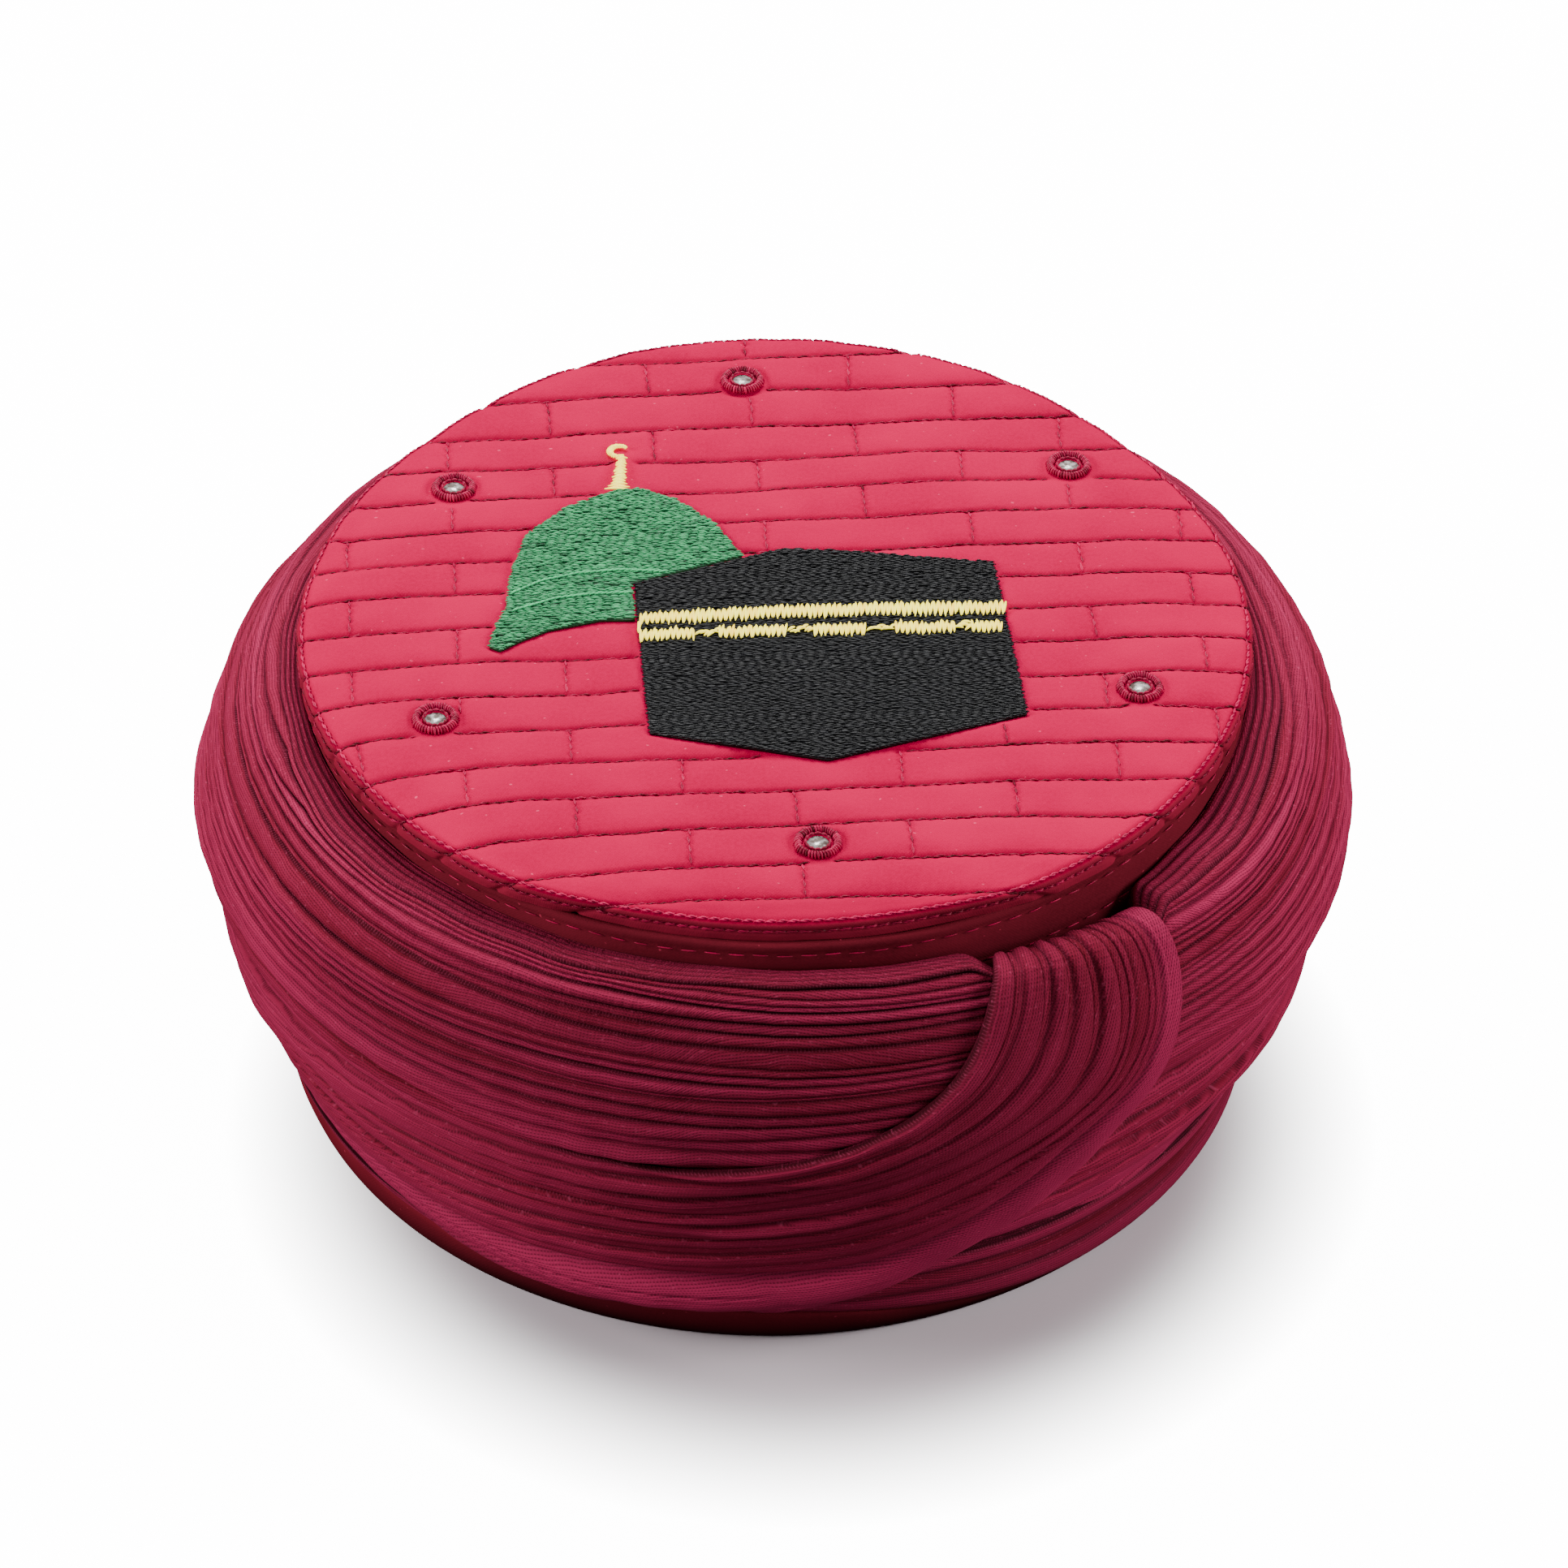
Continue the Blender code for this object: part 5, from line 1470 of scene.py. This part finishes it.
def make_upper_winding():
    azimuth = np.linspace(-180, 180, WINDING_STEPS + 1)
    turn = np.radians(azimuth)
    uneven = EDGE_WANDER * wandering(turn, np.random.default_rng(3), EDGE_COUNTS)
    edge = eased_read(WINDING_EDGE, 1, azimuth) + uneven
    off_cap = eased_read(WINDING_EDGE, 2, azimuth)
    valley = edge - eased_read(WINDING_EDGE, 3, azimuth)
    bottom = hem_top(azimuth) + GAP
    low = eased_read(SUNK_BAND, 2, azimuth)
    under = eased((azimuth - UNDER_TURN[0]) / 10) * eased((UNDER_TURN[1] - azimuth) / 10)
    under_turn = 1 - UNDER_FLATTER * under

    radii, heights, tints, rises = [], [], [], []

    def add_row(radius, height, tint=0.4, rise=-1.0):
        radii.append(radius)
        heights.append(height)
        tints.append(np.full_like(azimuth, tint))
        rises.append(rise + 0 * azimuth)

    add_row(winding_radius(azimuth, bottom) - 0.9, bottom)
    lines = [low]
    for share, _ in LOWER_FOLDS:
        lines.append(lines[-1] - (low - bottom) * share)
    lower = fold_rows(lines, [row[1] for row in LOWER_FOLDS], 1.0, turn, 12)
    for height, offset, tint, rise in reversed(lower):
        add_row(*outward(azimuth, np.maximum(height, bottom), offset), tint, rise)
    middle = FOLD_LEVEL - low - 2 * SUNK_SLOPE
    for height in [low] + [low + SUNK_SLOPE + middle * share for share in (0, 0.33, 0.67, 1)]:
        add_row(winding_radius(azimuth, height) - sunk_depth(azimuth, height) - 0.3, height)
    lines = upper_lines(azimuth, turn, edge)
    crests = [row[6] for row in UPPER_FOLDS] + [LAST_FOLD_CREST]
    for height, offset, tint, rise in reversed(fold_rows(lines, crests, 1.0, turn, 22)):
        moved = offset * np.where(offset > 0, under_turn, 1.0) - FOLD_SINK
        crease = CREASE * waves(WINDING_MEAN * turn, height, CREASE_LENGTH, 31)
        moved = moved + crease * eased((edge - height) / 2)
        add_row(*outward(azimuth, np.maximum(height, FOLD_LEVEL - 1.1), moved), tint, rise)
    lip = winding_radius(azimuth, edge)
    inner_lip = wall_radius(edge) + off_cap
    inner = wall_radius(valley) + GAP
    over = np.maximum(lip - inner_lip, 0.3) / LIP_FOLDS
    dip = np.minimum(over * LIP_GROOVE, 1.2)
    for fold in range(LIP_FOLDS):
        for part, rise, level in LIP_FORM:
            share = (fold + part) / LIP_FOLDS
            sag = LIP_SAG * share * share * np.minimum(over, 1.5)
            radius = lip * (1 - share) + inner_lip * share
            add_row(radius, edge + dip * level - sag, LIP_TINT + 0.1 * fold, rise)
    deep = edge - valley
    add_row(inner_lip, edge - 0.35 * deep - dip, LIP_TINT, 0.3)
    add_row(inner_lip, valley + 0.25 * deep, LIP_TINT, 0.2)
    add_row(inner, valley, LIP_TINT, 0.2)
    add_row(wall_radius(bottom) + GAP, bottom)
    add_row(radii[0], heights[0])
    radius, height = np.array(radii).T, np.array(heights).T
    radius[-1], height[-1] = radius[0], height[0]
    places = round_places(azimuth[:, None], radius, height)
    places[-1] = places[0]
    along = np.broadcast_to((WINDING_MEAN * turn)[:, None], radius.shape)
    uvs = np.stack([along, section_length(radius, height)], axis=-1)
    attributes = {"tint": np.array(tints).T, "rise": np.array(rises).T}
    mesh = cloth_grid("upper_cloth", places, uvs, attributes, closed_round=True)
    piece = finished("upper_cloth", mesh, winding_gauze, ["upper_winding"])


winding_gauze = crinkled_gauze()
make_upper_winding()

# The last turn: the same cloth's other end. It is tucked in behind the winding's edge at the
# front right, sweeps down across the front in long pleats with a smooth roll below them, and goes
# round the lower half until it passes under its own beginning.
TURN_PARTS = 8
# stations to the next row, then azimuth and height of the upper and of the lower edge, how far
# it lies inside the outline, its lean (0 outwards, 90 up, 180 to the cap) and its thickness
LAST_TURN = [
    (1, 26, 78.4, 41.4, 76.6, 11.2, 180, 1.8),
    (1, 25, 84.8, 42.2, 83.0, 7.0, 150, 2.2),
    (1, 24, 86.6, 43.0, 85.2, 3.0, 90, 2.6),
    (1, 23, 86.0, 43.4, 84.4, 0.2, 35, 3.0),
    (2, 21, 80.3, 43.4, 78.8, 0.0, 0, 3.0),
    (2, 16, 70.5, 40.2, 64.0, 0.0, 0, 3.0),
    (2, 8, 62.8, 34.8, 52.0, 0.0, 0, 3.0),
    (2, -2, 57.5, 28, 38.5, 0.0, 0, 3.0),
    (3, -14, 55.2, 18, 25.5, 0.0, 0, 3.0),
    (3, -28, 54.9, 4, 16.0, 0.0, 0, 3.1),
    (4, -44, 54.9, -16, 12.2, 0.0, 0, 3.2),
    (4, -62, 54.9, -44, 11.0, 0.0, 0, 3.2),
    (4, -84, 54.9, -76, 11.0, 0.0, 0, 3.2),
    (16, -108, 54.9, -108, 11.0, 0.0, 0, 3.2),
    (6, -240, 54.9, -240, 11.0, 0.0, 0, 3.2),
    (4, -290, 54.6, -290, 16.6, 0.0, 0, 3.0),
    (1, -326, 53.4, -326, 18.9, 0.0, 0, 2.2),
    (1, -338, 52.8, -338, 19.8, 0.0, 0, 1.4),
    (0, -344, 52.4, -344, 20.3, 0.0, 0, 1.0),
]
TURN_LIFT = 0.6
TURN_FACE = 1.0
TURN_WIDTH = (34, 60)
LEAST_THICK = 0.3
DEGREE_LENGTH = 1.9
# up to this station, and from one azimuth to the other, it comes up out of its groove
CROSSING_STATION = 15
CROSSING_FROM = -2
CROSSING_TO = 12
# widths of the pleats from the upper edge down, where the turn starts, in its sweep and further
# round, then their crest heights and tints
TURN_PLEATS = [
    (2.6, 3.0, 4.6, 0.45, 0.65),
    (1.2, 1.3, 1.2, 0.10, 0.3),
    (3.8, 4.6, 3.6, 0.60, 0.4),
    (1.4, 1.6, 1.2, -0.30, 0.1),
    (3.0, 3.6, 5.2, 0.55, 0.4),
    (1.2, 1.8, 1.0, 0.10, 0.1),
    (4.2, 3.2, 2.6, 0.40, 0.3),
    (1.0, 1.2, 1.4, 0.05, 0.0),
    (3.2, 4.4, 4.6, 0.60, 0.3),
    (2.0, 1.4, 1.4, 0.05, 0.0),
    (1.6, 3.4, 3.8, 0.40, 0.2),
    (2.2, 1.6, 1.4, 0.05, 0.0),
    (1.4, 5.2, 4.4, 0.50, 0.3),
    (1.6, 2.6, 1.6, 0.15, 0.5),
    # the smooth roll: its far higher tint is a painted highlight along it
    (6.6, 7.8, 6.2, 0.18, 2.6),
]
# stations between which the widths of the sweep come in, and go over to those further round
SWEEP_FROM = 4
SWEEP_FULL = 12
SWEEP_END = 17
ROUND_FROM = 25
ROLL_FROM = 5
ROLL_END = 24
ROLL_CREST = 1.1
# the pleats rise from this share of their height over so many stations
FOLDED_PLEATS = 0.3
FOLDED_OVER = 16
PLEAT_WANDER = 0.42
WANDER_STATIONS = 9
# painted shade on the turn's top, where it is tucked in
TUCKED_SHADE = 0.45
TUCKED_EDGE = 1.3
TUCKED_FROM = 13
TUCKED_SHARE = 0.05
TURN_CREASE = 0.1
INNER_ROWS = 8


def turn_columns():
    """The last turn's table, filled in smoothly: one row of values for each column of cloth."""
    table = np.array(LAST_TURN, float)
    lengths = np.maximum(table[:, 0], 1)
    stations = np.concatenate([[0.0], np.cumsum(lengths[:-1])])
    wanted = np.linspace(0, stations[-1], int(stations[-1]) * TURN_PARTS + 1)
    rows = np.column_stack([stations, table[:, 1:]])
    return wanted, [smooth_read(rows, column, wanted)[:, None] for column in range(1, 8)]


def pleat_lines(station):
    """The lines between the pleats, as shares of the last turn's width, by column."""
    dice = np.random.default_rng(41)
    sweep = eased((station - SWEEP_FROM) / (SWEEP_FULL - SWEEP_FROM))
    beyond = eased((station - SWEEP_END) / (ROUND_FROM - SWEEP_END))
    widths = []
    for start, middle, end, _, _ in TURN_PLEATS:
        width = start * (1 - sweep) + (middle * (1 - beyond) + end * beyond) * sweep
        widths.append(width * np.exp(PLEAT_WANDER * wandering(station / WANDER_STATIONS, dice)))
    ends = np.cumsum(widths, axis=0)
    return [0 * station] + list(ends / ends[-1])


def make_last_turn():
    station, (upper_az, upper_z, lower_az, lower_z, inset, lean, thick) = turn_columns()
    across = np.hypot(lower_z - upper_z, (lower_az - upper_az) * DEGREE_LENGTH)
    crests = [row[3] for row in TURN_PLEATS]
    rolled = eased((station - ROLL_FROM) / 4) * eased((ROLL_END - station) / 6)
    crests[-1] = crests[-1] + ROLL_CREST * rolled
    tinted = [row[4] for row in TURN_PLEATS]
    width = np.clip(across[:, 0], *TURN_WIDTH)
    wander = station / WANDER_STATIONS
    pleats = fold_rows(pleat_lines(station), crests, width, wander, 42, tinted)[3:-2]
    face = thick[:, 0] - TURN_FACE
    softened = FOLDED_PLEATS + (1 - FOLDED_PLEATS) * eased((station - 2) / FOLDED_OVER)
    shade = 0.5 * (1 - softened) - TUCKED_SHADE * eased(1 - station / 5)
    tucking = TUCKED_EDGE * eased((station - TUCKED_FROM) / 5)

    edge = thick[:, 0] * 0.3
    rows = [(0, edge, 0, -0.6)]
    for share, offset, tint, rise in pleats:
        tucked = tucking * eased(1 - share / TUCKED_SHARE)
        outer = np.maximum(face + offset * softened - tucked, LEAST_THICK)
        rows.append((share, outer, tint, rise * softened + shade))
    rows.append((1, edge, pleats[-1][2], -0.5))
    rows += [(1 - step / INNER_ROWS, 0, 0, -1) for step in range(INNER_ROWS + 1)]
    rows.append(rows[0])
    columns = [[value + 0 * station for value in column] for column in zip(*rows)]
    share, offset, tints, rises = (np.array(column).T for column in columns)

    azimuth = upper_az + (lower_az - upper_az) * share
    height = upper_z + (lower_z - upper_z) * share
    sunk = sunk_depth(azimuth, height)
    crossing = eased((azimuth - CROSSING_FROM) / (CROSSING_TO - CROSSING_FROM))
    sunk = np.where(station[:, None] < CROSSING_STATION, sunk * (1 - crossing), sunk)
    tilt = np.radians(lean)
    crease = TURN_CREASE * waves(WINDING_MEAN * np.radians(azimuth), height, CREASE_LENGTH, 51)
    offset = offset + np.where(offset > 0, crease, 0)
    radius = winding_radius(azimuth, height) - sunk + TURN_LIFT - inset + offset * np.cos(tilt)
    places = round_places(azimuth, radius, height + offset * np.sin(tilt))
    forward = np.linalg.norm(np.diff(places, axis=0), axis=-1).mean(axis=1)
    along = np.broadcast_to(np.concatenate([[0.0], np.cumsum(forward)])[:, None], share.shape)
    round_section = np.cumsum(np.abs(np.diff(share * across, axis=1, prepend=0)), axis=1)
    uvs = np.stack([along, round_section], axis=-1)
    mesh = cloth_grid("turn_cloth", places, uvs, {"tint": tints, "rise": rises})
    piece = finished("turn_cloth", mesh, winding_gauze, ["last_turn"])


make_last_turn()

# The studio: a plain white table under large soft lamps, seen from the front and above. The
# table glows white, but for a painted soft shadow close round the foot, where its glow fades.
CAMERA_DISTANCE = 1.0251
CAMERA_ELEVATION = 41.75
CAMERA_LENS = 115.8
CAMERA_SENSOR = 36
CAMERA_RAISE = 2.44
CAMERA_SIDE = 0.131
CAMERA_ROLL = 0.41
FLOOR_SIZE = 8.0
SHADOW_MIDDLE = (0.006, -0.03, 0.0)
SHADOW_INNER = 0.074
SHADOW_OUTER = 0.114
SHADOW_POWER = 2.6
FLOOR_GLOW = 14.0
# darker and pinker than white, it shows only where the glow fades: the painted shadow's colour
FLOOR_SHADOW_COLOUR = (0.66, 0.57, 0.61, 1.0)
WHITE = (1.0, 1.0, 1.0, 1.0)
WORLD_LIGHT = 0.1
# name, place in metres, size and watts
LAMPS = (
    ("lamp_top", (-0.05, 0.82, 1.25), 1.0, 37),
    ("lamp_left", (-1.3, -0.16, 0.63), 0.6, 24),
    ("lamp_right", (1.3, -0.04, 0.68), 0.6, 22),
    ("lamp_front", (0.0, -1.45, 0.4), 0.9, 5.4),
)


def make_camera():
    data = bpy.data.cameras.new("camera")
    data.lens = CAMERA_LENS
    data.sensor_width = CAMERA_SENSOR
    camera = set_up("camera", data)
    rise = math.radians(CAMERA_ELEVATION)
    place = (0, -CAMERA_DISTANCE * math.cos(rise), CAMERA_DISTANCE * math.sin(rise))
    look = Matrix.Rotation(math.radians(90 - CAMERA_ELEVATION), 4, "X")
    look = look @ Matrix.Rotation(math.radians(CAMERA_ROLL), 4, "Z")
    look = look @ Matrix.Rotation(math.radians(CAMERA_RAISE), 4, "X")
    look = look @ Matrix.Rotation(math.radians(-CAMERA_SIDE), 4, "Y")
    camera.matrix_world = Matrix.Translation(place) @ look
    bpy.context.scene.camera = camera


def make_floor():
    shape = bmesh.new()
    bmesh.ops.create_grid(shape, x_segments=1, y_segments=1, size=FLOOR_SIZE / 2)
    mesh = as_mesh(shape, "floor")
    finish, tree, shader = new_finish("white_table", roughness=0.9, specular=0.0)
    shader.inputs["Base Color"].default_value = FLOOR_SHADOW_COLOUR
    shader.inputs["Emission Color"].default_value = WHITE
    # the glow fades towards the foot: a painted shadow
    ends = {0: own_place(tree), 1: SHADOW_MIDDLE}
    away = add_node(tree, "ShaderNodeVectorMath", ends, operation="DISTANCE")
    share = spread(tree, away.outputs["Value"], SHADOW_INNER, SHADOW_OUTER)
    glow = times(tree, calculate(tree, "POWER", share, SHADOW_POWER), FLOOR_GLOW)
    tree.links.new(glow, shader.inputs["Emission Strength"])
    finish.cycles.emission_sampling = "NONE"
    mesh.materials.append(finish)
    floor = set_up("floor", mesh)
    floor.visible_diffuse = False
    floor.visible_glossy = False


def make_lamp(name, place, size, watts):
    """A square soft lamp that looks at the turban."""
    data = bpy.data.lights.new(name, "AREA")
    data.size = size
    data.energy = watts
    lamp = set_up(name, data)
    aim = -Matrix.Translation(place).translation
    lamp.matrix_world = Matrix.Translation(place) @ aim.to_track_quat("-Z", "Y").to_matrix().to_4x4()


make_camera()
make_floor()
for lamp in LAMPS:
    make_lamp(*lamp)
world = bpy.data.worlds.new("studio")
world.use_nodes = True
sky = world.node_tree.nodes["Background"]
sky.inputs[0].default_value = WHITE
sky.inputs[1].default_value = WORLD_LIGHT
bpy.context.scene.world = world
